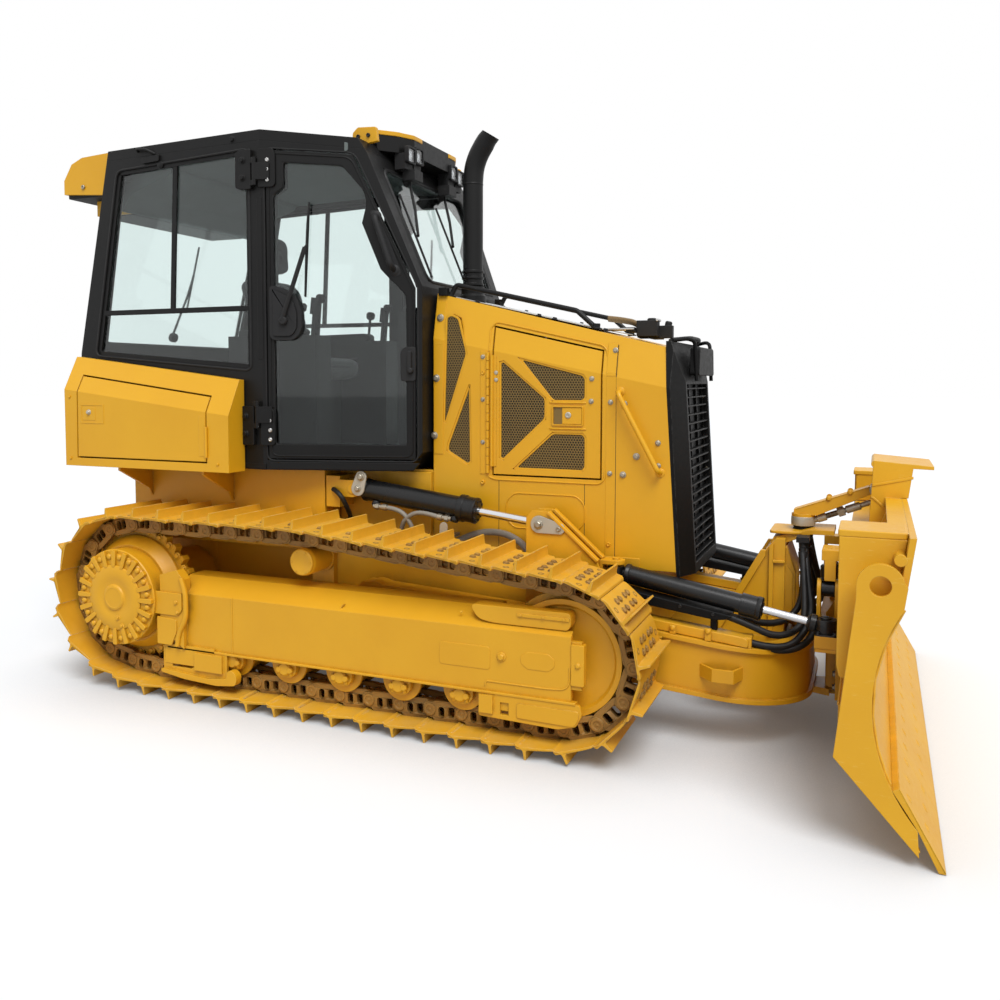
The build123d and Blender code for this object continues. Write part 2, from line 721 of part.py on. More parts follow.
def hood():
    shell = hood_shell()
    floor = hood_body(FIELD_DEPTH)
    for side in (-1, 1):
        shell -= prism_xz(ENGINE_DOOR, min(0, side * 600), max(0, side * 600))
        for field in PANEL_FIELDS:
            shell -= prism_xz(field, min(0, side * 600), max(0, side * 600)) - floor
    return shell


def radiator_guard():
    """Leaning black frame round the front grille."""
    def section(z):
        rear = hood_front(z) + SEAT_GAP
        return [
            (rear, -HOOD_HALF_WIDTH, z),
            (rear + 16, -HOOD_HALF_WIDTH, z),
            (rear + GUARD_DEPTH, -GUARD_FRONT_HALF, z),
            (rear + GUARD_DEPTH, GUARD_FRONT_HALF, z),
            (rear + 16, HOOD_HALF_WIDTH, z),
            (rear, HOOD_HALF_WIDTH, z),
        ]

    guard = ruled(section(HOOD_BOTTOM_Z - 20), section(GUARD_TOP_Z))
    # Shoulders follow the hood's bevelled sides
    crease, top = hood_heights(HOOD_FRONT_X)
    for side in (-1, 1):
        outline = [
            (side * (HOOD_HALF_WIDTH + 5), crease),
            (side * HOOD_HALF_WIDTH, crease),
            (side * HOOD_TOP_HALF_WIDTH, GUARD_TOP_Z + 1),
            (side * (HOOD_HALF_WIDTH + 5), GUARD_TOP_Z + 1),
        ]
        guard -= prism_yz(outline, 2600, 3100)
    # Sloping brow above the grille
    brow_z = GRILLE_TOP_Z + 12
    front = hood_front(brow_z) + GUARD_DEPTH
    top_z = GUARD_TOP_Z + 1
    cut = [(front, brow_z), (front - 55, top_z), (front + 90, top_z), (front + 90, brow_z)]
    guard -= prism_xz(cut, -600, 600)
    return guard - grille_room(0)


def grille_room(gap):
    """The recess that holds the grille, shrunk by a gap."""
    def section(z):
        front = hood_front(z) + GUARD_DEPTH
        return [
            (front - 36 + gap, -GRILLE_HALF + gap, z),
            (front + 1, -GRILLE_HALF + gap, z),
            (front + 1, GRILLE_HALF - gap, z),
            (front - 36 + gap, GRILLE_HALF - gap, z),
        ]

    return ruled(section(GRILLE_BOTTOM_Z + gap), section(GRILLE_TOP_Z - gap))


def grille():
    """Thin cross bars on upright ribs."""
    bars = 20
    room = grille_room(SEAT_GAP)
    rack = None
    pitch = (GRILLE_TOP_Z - GRILLE_BOTTOM_Z) / bars
    for i in range(bars):
        z = GRILLE_BOTTOM_Z + pitch * (i + 0.5)
        front = hood_front(z) + GUARD_DEPTH
        bar = box(front - 30, front - 6, -GRILLE_HALF, GRILLE_HALF, z - 3, z + 3)
        rack = bar if rack is None else rack + bar
    for y in (-GRILLE_HALF + 8, -88, 88, GRILLE_HALF - 8):
        low, high = GRILLE_BOTTOM_Z, GRILLE_TOP_Z
        rib = ruled(
            [(hood_front(low) + 30, y - 8, low), (hood_front(low) + 42, y - 8, low),
             (hood_front(low) + 42, y + 8, low), (hood_front(low) + 30, y + 8, low)],
            [(hood_front(high) + 30, y - 8, high), (hood_front(high) + 42, y - 8, high),
             (hood_front(high) + 42, y + 8, high), (hood_front(high) + 30, y + 8, high)],
        )
        rack += rib
    return rack & room


def exhaust_stack():
    """Upright pipe with its mouth turned forward."""
    x, y = EXHAUST_X, EXHAUST_Y
    _, top = hood_heights(x)
    base = top - 40
    pipe = cylinder((x, y, base), (x, y, 2600), EXHAUST_RADIUS)
    pipe += cylinder((x, y, base), (x, y, base + 110), EXHAUST_RADIUS + 9)
    slope = Vector(0.42, 0, 0.9).normalized()
    start = Vector(x, y, 2575)
    bend = cylinder(tuple(start), tuple(start + slope * 215), EXHAUST_RADIUS)
    bend -= cylinder(tuple(start + slope * 90), tuple(start + slope * 220), EXHAUST_RADIUS - 5)
    bend -= box(x - 200, x + 400, y - 200, y + 200, 2300, 2600)
    mouth = prism_xz([(x + 30, 2620), (x + 92, 2790), (x + 300, 2790), (x + 300, 2560)], y - 200, y + 200)
    return pipe + (bend - mouth) - hood_body(-SEAT_GAP)


def hood_rails():
    """A round rail along each top edge of the hood."""
    y = HOOD_TOP_HALF_WIDTH - 30
    stations = ((1712, 0), (1742, 62), (2360, 62), (2455, 0))
    points = []
    for x, rise in stations:
        _, top = hood_heights(x)
        points.append((x, y, top + SEAT_GAP + rise))
    path = FilletPolyline(*points, radius=[22, 45])
    section = Plane(origin=points[0], z_dir=Vector(*points[1]) - Vector(*points[0])) * Circle(RAIL_RADIUS)
    rail = sweep(section, path)
    for x in (1712, 2455):
        _, top = hood_heights(x)
        rail += cylinder((x, y, top - 6), (x, y, top + 22), RAIL_RADIUS + 5)
    _, low = hood_heights(2500)
    return rail - hood_body(-SEAT_GAP)


# ---------------------------------------------------------------- cab


def cab_body(thickness):
    """The cab's outer form, shrunk by a thickness."""
    profile = inset(CAB_PROFILE, thickness) if thickness else CAB_PROFILE
    return prism_xz(profile, -900, 900) & cab_column(thickness)


def cab_column(thickness):
    """The cab's plan, shrunk by a thickness, at every height."""
    plan = inset(CAB_PLAN, thickness) if thickness else CAB_PLAN
    return prism_xy(plan, 900, 3000)


def above_roof_line(drop):
    """All the space above the roof's top line, lowered by a drop."""
    line = [(x, z - drop) for x, z in CAB_PROFILE[2:5]]
    (ax, az), (bx, bz) = line[-2:]
    ahead = (1600, bz + (1600 - bx) * (bz - az) / (bx - ax))
    (cx, cz), (dx, dz) = line[:2]
    behind = (-600, cz + (-600 - cx) * (dz - cz) / (dx - cx))
    return prism_xz([behind, *line, ahead, (1600, 3200), (-600, 3200)], -900, 900)


def side_wall(outline):
    """An opening through the left wall alone, from its outline in side view."""
    return prism_xz(outline, 300, 900) - cab_column(CAB_WALL + 8)


def cab_frame():
    """Floor, firewall, pillars and lower walls in one welded piece."""
    shell = cab_body(0) - cab_body(CAB_WALL) - above_roof_line(CAB_ROOF + SEAT_GAP)
    for opening in (side_wall(CAB_DOOR), side_wall(SIDE_WINDOW)):
        shell -= opening
        shell -= mirrored(opening)
    shell -= windshield_room(0)
    shell -= rear_window_room(0)
    # Fixed halves of the door hinges
    for z in DOOR_HINGES_Z:
        for low in (z - 66, z + 40.5):
            half = box(DOOR_HINGE_X - 26, DOOR_HINGE_X, 712, DOOR_HINGE_Y, low, low + 25.5)
            half += hinge_barrel(low, low + 25.5)
            shell += half
            shell += mirrored(half)
    return shell


def hinge_barrel(low, high):
    return cylinder((DOOR_HINGE_X, DOOR_HINGE_Y, low), (DOOR_HINGE_X, DOOR_HINGE_Y, high), DOOR_HINGE_RADIUS)


def windshield_room(gap):
    outline = [(-400, 2040), (400, 2040), (455, 2590), (-455, 2590)]
    return prism_yz(inset(outline, gap) if gap else outline, 1100, 1800)


def rear_window_room(gap):
    outline = [(-560, 1760), (560, 1760), (600, 2620), (-600, 2620)]
    return prism_yz(inset(outline, gap) if gap else outline, -500, 100)


def cab_roof():
    return cab_body(0) & above_roof_line(CAB_ROOF)


def cab_glass():
    """Windscreen, rear window and side windows, one pane each."""
    sheet = cab_body(CAB_GLASS_INSET) - cab_body(CAB_GLASS_INSET + CAB_GLASS)
    window = inset(SIDE_WINDOW, SEAT_GAP)
    panes = [
        *(sheet & windshield_room(SEAT_GAP)).solids(),
        *(sheet & rear_window_room(SEAT_GAP)).solids(),
        *(sheet & side_wall(window)).solids(),
        *(sheet & mirrored(side_wall(window))).solids(),
    ]
    return Compound(children=panes)


def cab_door_leaf():
    """The door's outline through the wall, its front edge leaning back as it goes in."""
    outline = inset(CAB_DOOR, DOOR_GAP)
    sections = []
    for y in (900, 300):
        points = []
        for i, (x, z) in enumerate(outline):
            if i in CAB_DOOR_FRONT:
                slope = (CAB_PILLAR_HALF_WIDTH - CAB_FRONT_HALF_WIDTH) / (1700 - CAB_PILLAR_X)
                outside = CAB_PILLAR_HALF_WIDTH - slope * (x - CAB_PILLAR_X)
                x += DOOR_SPLAY * (y - outside)
            points.append((x, y, z))
        sections.append(points)
    return ruled(*sections) - cab_column(CAB_WALL)


def cab_door():
    """Left door frame, cut from the cab's wall, with its hinge arms."""
    door = cab_body(0) & cab_door_leaf()
    door -= prism_xz(DOOR_GLASS, 300, 900)
    for z in DOOR_HINGES_Z:
        plan = [
            (DOOR_HINGE_X, DOOR_HINGE_Y + 9),
            (938, 724),
            (938, 684),
            (925, 690),
            (925, 728),
            (DOOR_HINGE_X, DOOR_HINGE_Y - 9),
        ]
        door += prism_xy(plan, z - 40, z + 40)
        door += hinge_barrel(z - 40, z + 40)
    return door


def door_glass():
    sheet = cab_body(CAB_GLASS_INSET) - cab_body(CAB_GLASS_INSET + CAB_GLASS)
    return sheet & side_wall(inset(DOOR_GLASS, SEAT_GAP))


def roof_visor():
    """Hooded lamp carrier over the windscreen."""
    plan = [
        (1300, -470),
        (1430, -330),
        (1470, -240),
        (1470, 240),
        (1430, 330),
        (1300, 470),
        (1300, 300),
        (1300, -300),
    ]
    visor = prism_xy(plan, 2690, 2790)
    visor -= box(1290, 1352, -600, 600, 2680, CAB_ROOF_Z - 40)
    return visor - cab_body(-SEAT_GAP)


def work_lights():
    """Square lamps under the visor's corners."""
    lamps = []
    for y in (-290, -200, 200, 290):
        lamps.append(box(1405, 1465, y - 38, y + 38, 2610, 2689.7))
    return Compound(children=lamps)


def roof_pod():
    """Rounded housing behind the roof."""
    profile = [(-95, 2545), (POD_REAR_X, 2575), (POD_REAR_X, 2650), (-455, 2735), (-380, 2765), (-95, 2780)]
    pod = prism_xz(profile, -600, 600)
    pod += box(-400, -150, -480, 480, 2470, 2560)
    return pod - cab_body(-SEAT_GAP)


def seat_base():
    """Pedestal with the plate that carries the backrest."""
    base = box(365, 760, -190, 190, CAB_BOTTOM_Z + CAB_WALL + SEAT_GAP, 1560)
    upright = [
        (360, 1300),
        (398, 1300),
        (398, 1684),
        (439.2, 1692),
        (363.3, 2030),
        (338, 2030),
        (374, 1860),
        (360, 1700),
    ]
    return base + prism_xz(upright, -150, 150)


def seat_cushion():
    return box(400, 900, -245, 245, 1560.3, 1680)


def seat_back():
    points = [(440, 1690), (330, 2180), (360, 2400), (430, 2400), (470, 2200), (560, 1690)]
    return prism_xz(points, -235, 235)


def cab_console():
    """Armrest consoles with levers, and the dash behind the windscreen."""
    floor = CAB_BOTTOM_Z + CAB_WALL + SEAT_GAP
    pieces = []
    for side in (-1, 1):
        low, high = sorted((side * 290, side * 430))
        console = box(450, 1000, low, high, floor, 1790)
        console += cylinder((940, side * 360, 1780), (955, side * 360, 1930), 16)
        console += cylinder((948, side * 360, 1900), (958, side * 360, 1985), 26)
        pieces.append(console)
    pieces.append(box(1420, 1535, -330, 330, floor, 1900))
    return Compound(children=pieces)


# ---------------------------------------------------------------- lockers
def locker_body(thickness):
    """A locker's outer form on the left, shrunk by a thickness."""
    sections = []
    ends = ((LOCKER_REAR_X + thickness, 1508, 1680), (LOCKER_FRONT_X - thickness, 1386, 1560))
    for x, crease, top in ends:
        points = [
            (LOCKER_INNER_Y + thickness, LOCKER_BOTTOM_Z + thickness),
            (LOCKER_OUTER_Y - thickness, LOCKER_BOTTOM_Z + thickness),
            (LOCKER_OUTER_Y - thickness, crease),
            (LOCKER_OUTER_Y - 88 - thickness / 2, top - thickness),
            (LOCKER_INNER_Y + thickness, top - thickness),
        ]
        sections.append([(x, y, z) for y, z in points])
    return ruled(*sections)


def locker():
    shell = locker_body(0) - locker_body(LOCKER_WALL)
    return shell - prism_xz(LOCKER_DOOR, LOCKER_INNER_Y + 40, 900)


def locker_door():
    skin = locker_body(0) - locker_body(LOCKER_WALL)
    door = skin & prism_xz(inset(LOCKER_DOOR, DOOR_GAP), LOCKER_INNER_Y + 40, 900)
    hinge_x = LOCKER_DOOR[2][0]
    door += box(hinge_x - DOOR_GAP - 8, hinge_x - 0.5, LOCKER_OUTER_Y - 4, LOCKER_OUTER_Y + 3, 1180, 1330)
    return door + cylinder((hinge_x, LOCKER_HINGE_Y, 1180), (hinge_x, LOCKER_HINGE_Y, 1330), 6)


# ---------------------------------------------------------------- C-frame
def arm_profile(shrink):
    """Side view of an arm, thinner by a flange at top and bottom."""
    return [
        (PIVOT_X - 100, PIVOT_Z - 60 + shrink),
        (PIVOT_X - 60, PIVOT_Z - 100 + shrink),
        (2766, 235 + shrink),
        (3500, 175 + shrink),
        (3500, 408 - shrink),
        (2763, 485 - shrink),
        (PIVOT_X - 60, PIVOT_Z + 100 - shrink),
        (PIVOT_X - 100, PIVOT_Z + 60 - shrink),
    ]


def c_plan(shrink):
    """Plan of the C-frame's ring, drawn in from its outer side by a recess."""
    outer = ARM_OUTER_Y - shrink
    radius = ARM_BEND_RADIUS - shrink
    width = ARM_OUTER_Y - ARM_INNER_Y - shrink
    bend_y = ARM_OUTER_Y - ARM_BEND_RADIUS

    def corner(side, r):
        middle = (ARM_BEND_X + r * cos(pi / 4), side * (bend_y + r * sin(pi / 4)))
        return (ARM_BEND_X, side * (bend_y + r)), middle, (ARM_BEND_X + r, side * bend_y)

    def ring(reach, r):
        a0, a1, a2 = corner(-1, r)
        b0, b1, b2 = corner(1, r)
        rear = PIVOT_X - 200
        edges = [
            Edge.make_line((rear, -reach, 0), (*a0, 0)),
            Edge.make_three_point_arc((*a0, 0), (*a1, 0), (*a2, 0)),
            Edge.make_line((*a2, 0), (*b2, 0)),
            Edge.make_three_point_arc((*b2, 0), (*b1, 0), (*b0, 0)),
            Edge.make_line((*b0, 0), (rear, reach, 0)),
            Edge.make_line((rear, reach, 0), (rear, -reach, 0)),
        ]
        return Solid.extrude(Face(Wire(edges)), Vector(0, 0, 900))

    inner = ring(outer - width, radius - width)
    return ring(outer, radius) - inner.moved(Location((-1, 0, 0)))


def c_frame():
    """Push arms joined round the front, with pivot eyes and the swing pin's bore."""
    whole = prism_xz(arm_profile(0), -700, 700)
    core = prism_xz(arm_profile(ARM_FLANGE), -700, 700)
    frame = (whole - core) & c_plan(0)
    frame += core & c_plan(ARM_RECESS)
    # Web in the nose, under the tower
    frame += box(2990, 3330, -150, 150, 240, 400)
    for side in (-1, 1):
        low, high = side * ARM_INNER_Y, side * ARM_OUTER_Y
        frame += cylinder((PIVOT_X, low, PIVOT_Z), (PIVOT_X, high, PIVOT_Z), 105)
    for side in (-1, 1):
        low, high = side * (ARM_INNER_Y - 20), side * (ARM_OUTER_Y + 20)
        frame -= cylinder((PIVOT_X, low, PIVOT_Z), (PIVOT_X, high, PIVOT_Z), PIVOT_RADIUS + RUNNING_FIT)
    return frame - cylinder((SWING_X, 0, 100), (SWING_X, 0, 480), SWING_PIN_RADIUS + RUNNING_FIT)


def tower():
    """Tower on the C-frame's nose with the top link's ball post."""
    profile = [(2990, 400), (3205, 790), (3255, 850), (3295, 850), (3295, 400)]
    body = prism_xz(profile, -150, 150)
    top = [(3225, 820), (3240, 850), (3400, 892), (3500, 892), (3500, 872), (3400, 870), (3280, 820)]
    body += prism_xz(top, -105, 105)
    return body + cylinder((SWING_X, 0, 880), (SWING_X, 0, 930), 30)


def lift_lug():
    """Left lug on a push arm: plates for the lift rod's eye, ears and ball for the angle cylinder."""
    x, z = LIFT_FRONT
    profile = [(2200, 480), (2200, 940), (2228, 972), (2295, 972), (2533, 762), (2560, 700), (2560, 480)]
    lug = prism_xz(profile, LIFT_Y - 50, LIFT_Y - 35)
    lug += prism_xz(profile, LIFT_Y + 35, LIFT_Y + 50)
    lug += box(2380, 2560, LIFT_Y - 50, LIFT_Y + 50, 480, 640)
    # Pin bosses stop short of the rod's eye
    for start, end in ((LIFT_Y - 50, LIFT_Y - 29), (LIFT_Y + 29, LIFT_Y + 54)):
        lug += cylinder((x, start, z), (x, end, z), 24)
    # Ears, pin and ball at the rear of the angle cylinder
    x, z = ANGLE_REAR
    y = ANGLE_Y
    for low_z in (z - 52, z + 34):
        lug += box(2535, x, y - 40, y + 40, low_z, low_z + 18)
        lug += cylinder((x, y, low_z), (x, y, low_z + 18), 40)
    lug += box(2535, 2548, y - 40, y + 40, z - 52, z + 52)
    lug += cylinder((x, y, z - 52), (x, y, z + 60), 16)
    return lug + Pos(x, y, z) * Solid.make_sphere(BALL_RADIUS)


def ram_barrel(rear, front, length, radius, rod_radius, clear, eye_axis, eye_radius, eye_half, bore):
    """Closed tube with an eye and neck at its rear and a gland at its front."""
    mouth = along(rear, front, length)
    barrel = cylinder(along(rear, front, clear), mouth, radius)
    barrel += cylinder(rear, along(rear, front, clear + 20), eye_half * 0.8)
    barrel += cylinder(along(rear, front, length - 70), mouth, radius + 7)
    barrel -= cylinder(along(rear, front, clear + 25), along(rear, front, length - 50), radius - RAM_WALL)
    mouth = along(rear, front, length + 5)
    barrel -= cylinder(along(rear, front, length - 60), mouth, rod_radius + SEAT_GAP)
    axis = Vector(*eye_axis)
    centre = Vector(*rear)
    barrel += cylinder(tuple(centre - axis * eye_half), tuple(centre + axis * eye_half), eye_radius)
    reach = axis * (eye_half + 40)
    return barrel - cylinder(tuple(centre - reach), tuple(centre + reach), bore)


def ram_rod(rear, front, start, radius, rod_radius, eye_axis, eye_radius, eye_half):
    """Rod with its piston inside the barrel and an eye at its front."""
    rest = (Vector(*front) - Vector(*rear)).length
    rod = cylinder(along(rear, front, start), front, rod_radius)
    rod += cylinder(along(rear, front, start), along(rear, front, start + 40), radius - RAM_WALL - SEAT_GAP)
    neck = rest - eye_radius
    rod += cylinder(along(rear, front, neck - 22), along(rear, front, neck + 12), rod_radius + 7)
    axis = Vector(*eye_axis)
    centre = Vector(*front)
    return rod + cylinder(tuple(centre - axis * eye_half), tuple(centre + axis * eye_half), eye_radius)


def lift_ram():
    rear = (LIFT_REAR[0], LIFT_Y, LIFT_REAR[1])
    front = (LIFT_FRONT[0], LIFT_Y, LIFT_FRONT[1])
    across = (0, 1, 0)
    barrel = ram_barrel(
        rear, front, 650, LIFT_BARREL_RADIUS, LIFT_ROD_RADIUS, 56, across, 40, 34, 25 + RUNNING_FIT
    )
    rod = ram_rod(rear, front, 410, LIFT_BARREL_RADIUS, LIFT_ROD_RADIUS, across, 36, 26)
    return barrel, rod


def angle_ram():
    rear = (ANGLE_REAR[0], ANGLE_Y, ANGLE_REAR[1])
    front = (ANGLE_FRONT[0], ANGLE_Y, ANGLE_FRONT[1])
    upright = (0, 0, 1)
    barrel = ram_barrel(rear, front, 625, ANGLE_BARREL_RADIUS, ANGLE_ROD_RADIUS, 56, upright, 38, 24, 22)
    barrel -= Pos(*rear) * Solid.make_sphere(BALL_RADIUS + RUNNING_FIT)
    rod = ram_rod(rear, front, 301, ANGLE_BARREL_RADIUS, ANGLE_ROD_RADIUS, upright, 42, 27)
    return barrel, rod


def tilt_ram():
    rear = (TILT_CYLINDER_X, TILT_BARREL_Y, TILT_CYLINDER_Z)
    front = (TILT_CYLINDER_X, TILT_ROD_Y, TILT_CYLINDER_Z)
    fore = (1, 0, 0)
    barrel = ram_barrel(rear, front, 420, TILT_BARREL_RADIUS, 18, 58, fore, 34, 26, 18 + RUNNING_FIT)
    rod = ram_rod(rear, front, 268, TILT_BARREL_RADIUS, 18, fore, 32, 22)
    return barrel, rod


# ---------------------------------------------------------------- blade
def swing_carrier():
    """Fork round the C-frame's nose, with the swing pin, the yoke and the tilt pin."""
    carrier = box(STEM_REAR_X, YOKE_FRONT_X, -STEM_HALF_WIDTH, STEM_HALF_WIDTH, FORK_BOTTOM_Z, 472)
    for z in (FORK_TOP_Z, FORK_BOTTOM_Z):
        root_x = STEM_REAR_X + 20
        carrier += prism_xy([(SWING_X, -55), (root_x, -100), (root_x, 100), (SWING_X, 55)], z, z + 30)
        carrier += cylinder((SWING_X, 0, z), (SWING_X, 0, z + 30), 55)
    carrier += cylinder((SWING_X, 0, FORK_BOTTOM_Z - 12), (SWING_X, 0, FORK_TOP_Z + 40), SWING_PIN_RADIUS)
    # Yoke under the angle cylinders' eyes
    carrier += box(3448, YOKE_FRONT_X, -ANGLE_Y - 50, ANGLE_Y + 50, 470, 520)
    carrier += box(YOKE_FRONT_X - 20, YOKE_FRONT_X, -150, 150, FORK_BOTTOM_Z, 471)
    # Fork and pin for the tilt cylinder's barrel
    x, y, z = TILT_CYLINDER_X, TILT_BARREL_Y, TILT_CYLINDER_Z
    for low_x in (x - 44, x + 28):
        carrier += box(low_x, low_x + 16, y - 42, y + 42, 519, z)
        carrier += cylinder((low_x, y, z), (low_x + 16, y, z), 42)
    carrier += cylinder((x - 44, y, z), (x + 44, y, z), 18)
    # Tilt pin
    carrier += cylinder((YOKE_FRONT_X - 5, 0, TILT_Z), (BLADE_BLOCK_X + 60, 0, TILT_Z), TILT_PIN_RADIUS)
    return carrier


def pitch_link():
    """Top link from the tower's ball to the head of the blade."""
    link = tube((SWING_X, 0, 899), (SWING_X, 0, 945), 52, 30 + RUNNING_FIT)
    link += cylinder((SWING_X, 0, 936), (SWING_X, 0, 952), 52)
    bar = [(3320, 948), (3320, 972), (3650, 1092), (3680, 1092), (3680, 1062), (3660, 1062), (3420, 948)]
    return link + prism_xz(bar, -38, 38)


def mould_circle():
    """Centre and radius of the circle through the arc's three points."""
    (ax, az), (bx, bz), (cx, cz) = MOULD_BEND, MOULD_MIDDLE, MOULD_FOOT
    d = 2 * (ax * (bz - cz) + bx * (cz - az) + cx * (az - bz))
    a2, b2, c2 = ax * ax + az * az, bx * bx + bz * bz, cx * cx + cz * cz
    x = (a2 * (bz - cz) + b2 * (cz - az) + c2 * (az - bz)) / d
    z = (a2 * (cx - bx) + b2 * (ax - cx) + c2 * (bx - ax)) / d
    return x, z, hypot(ax - x, az - z)


def mould_point(z, back=0.0):
    """The point of the front face at a height, or of the face a distance behind it."""
    if z > MOULD_BEND[1]:
        low = mould_point(MOULD_BEND[1], back)[0]
        share = (z - MOULD_BEND[1]) / (MOULD_TOP[1] - MOULD_BEND[1])
        return low + share * (MOULD_TOP[0] - MOULD_BEND[0]), z
    cx, cz, r = mould_circle()
    r += back
    return cx - (r * r - (z - cz) ** 2) ** 0.5, z


def behind_mould(back, low, high, half, rear):
    """The space from a rear plane up to the mouldboard's face, or to a face behind it."""
    def at(point):
        return (point[0], -half, point[1])

    def edge(a, b):
        return Edge.make_line(at(a), at(b))

    bend = min(max(MOULD_BEND[1], low), high)
    top, knee, foot = mould_point(high, back), mould_point(bend, back), mould_point(low, back)
    edges = [edge((rear, low), (rear, high)), edge((rear, high), top), edge(foot, (rear, low))]
    if high > bend:
        edges.append(edge(top, knee))
    if bend > low:
        middle = mould_point((low + bend) / 2, back)
        edges.append(Edge.make_three_point_arc(at(knee), at(middle), at(foot)))
    return Solid.extrude(Face(Wire(edges)), Vector(0, 2 * half, 0))


def blade():
    """Mouldboard with its end plates."""
    half = BLADE_HALF_WIDTH - BLADE_PLATE + 1
    body = behind_mould(0, MOULD_FOOT[1], BLADE_TOP_Z, half, 3500)
    body -= behind_mould(BLADE_PLATE, MOULD_FOOT[1] - 1, BLADE_TOP_Z + 1, half + 1, 3400)
    plate = end_plate()
    body += plate
    body += mirrored(plate)
    return body - prism_xz(inset(edge_outline(), -SEAT_GAP), -BLADE_HALF_WIDTH - 1, BLADE_HALF_WIDTH + 1)


def blade_back():
    """Beams, tilt block, cylinder bracket and head guard on the back of the mouldboard."""
    seat = BLADE_PLATE + SEAT_GAP
    body = behind_mould(seat, BEAM_BOTTOM_Z, BEAM_TOP_Z, BEAM_HALF_WIDTH, BEAM_REAR_X)
    body += behind_mould(seat, BLADE_TOP_Z - 16, BLADE_TOP_Z, BEAM_HALF_WIDTH, BEAM_REAR_X + 140)
    body += behind_mould(seat, 300, 470, BEAM_HALF_WIDTH, BEAM_REAR_X)
    for y in (-BEAM_HALF_WIDTH, -620, 604, BEAM_HALF_WIDTH - 16):
        rib = behind_mould(seat, 465, BEAM_BOTTOM_Z + 5, 8, BEAM_REAR_X + 20).moved(Location((0, y + 8, 0)))
        body += rib
    for y in (-600, 600):
        rib = behind_mould(seat, BEAM_TOP_Z - 5, BLADE_TOP_Z - 10, 8, BEAM_REAR_X + 145)
        body += rib.moved(Location((0, y, 0)))
    # Block that takes the tilt pin
    body += behind_mould(seat, 180, 470, 150, BLADE_BLOCK_X)
    body -= cylinder((3500, 0, TILT_Z), (BLADE_BLOCK_X + 62, 0, TILT_Z), TILT_PIN_RADIUS + RUNNING_FIT)
    # Bracket for the tilt cylinder's rod, two plates with the eye between them
    y, z = TILT_ROD_Y, TILT_CYLINDER_Z
    for low_x in (TILT_CYLINDER_X - 46, TILT_CYLINDER_X + 32):
        body += box(low_x, low_x + 14, y - 40, y + 40, z - 36, z + 135)
    body += box(TILT_CYLINDER_X - 46, BEAM_REAR_X + 5, y - 40, y + 40, z + 100, z + 140)
    # Head guard: two cheeks, a front plate and a cap, open to the rear for the top link
    body -= box(3500, 3690, -HEAD_HALF + 20, HEAD_HALF - 20, 925, 1100)
    for side in (-1, 1):
        low, high = sorted((side * (HEAD_HALF - 20), side * HEAD_HALF))
        cheek = [
            (3640, BEAM_TOP_Z - 10),
            (3655, HEAD_TOP_Z),
            (3812, HEAD_TOP_Z - 20),
            (3795, 1066),
            (3762, 1066),
            (3740, BEAM_TOP_Z - 10),
        ]
        body += prism_xz(cheek, low, high)
    cap = [
        (3655, HEAD_TOP_Z - 14),
        (3655, HEAD_TOP_Z),
        (3890, HEAD_TOP_Z - 18),
        (3890, HEAD_TOP_Z - 32),
        (3812, HEAD_TOP_Z - 30),
    ]
    body += prism_xz(cap, -HEAD_HALF, HEAD_HALF)
    front = [(3772, 1066), (3792, 1066), (3812, HEAD_TOP_Z - 24), (3792, HEAD_TOP_Z - 24)]
    body += prism_xz(front, -HEAD_HALF, HEAD_HALF)
    whole = behind_mould(-SEAT_GAP, 100, BLADE_TOP_Z + SEAT_GAP, BLADE_HALF_WIDTH, 3400)
    return body - (whole - behind_mould(seat, 90, BLADE_TOP_Z + 1, BLADE_HALF_WIDTH + 1, 3390))


def end_plate():
    """Left end plate with its tie-down eye."""
    y = BLADE_HALF_WIDTH - BLADE_PLATE
    tip = mould_point(LUG_Z)
    front = [MOULD_FOOT, mould_point(480), mould_point(MOULD_BEND[1]), tip]
    turns = [radians(a) for a in (12, 95, 180)]
    ring = [(LUG_X + LUG_RADIUS * cos(a), LUG_Z + LUG_RADIUS * sin(a)) for a in turns]
    rear = [ring[2], (LUG_X - LUG_RADIUS, 860), (3556, 330), (3822, 40), MOULD_FOOT]

    def at(point):
        return (point[0], y, point[1])

    edges = [Edge.make_line(at(a), at(b)) for a, b in zip(rear, rear[1:])]
    edges.append(Edge.make_three_point_arc(at(front[0]), at(front[1]), at(front[2])))
    edges.append(Edge.make_line(at(front[2]), at(tip)))
    edges.append(Edge.make_line(at(tip), at(ring[0])))
    edges.append(Edge.make_three_point_arc(at(ring[0]), at(ring[1]), at(ring[2])))
    plate = Solid.extrude(Face(Wire(edges)), Vector(0, BLADE_PLATE, 0))
    return plate - cylinder((LUG_X, y - 40, LUG_Z), (LUG_X, y + 40, LUG_Z), LUG_BORE)


def edge_outline():
    """Side view of the cutting edge, seated on the foot of the mouldboard."""
    seat = mould_point(246)
    return [
        (seat[0] + SEAT_GAP, 246),
        (seat[0] + 21, 256),
        (BLADE_EDGE_X, BLADE_EDGE_Z),
        (BLADE_EDGE_X - 22, BLADE_EDGE_Z),
        (MOULD_FOOT[0] + 2 * SEAT_GAP, MOULD_FOOT[1]),
    ]


def cutting_edge():
    return prism_xz(edge_outline(), -BLADE_HALF_WIDTH, BLADE_HALF_WIDTH)


# ---------------------------------------------------------------- build
def paired(name, shape):
    save(f"{name}_left", shape)
    save(f"{name}_right", mirrored(shape))


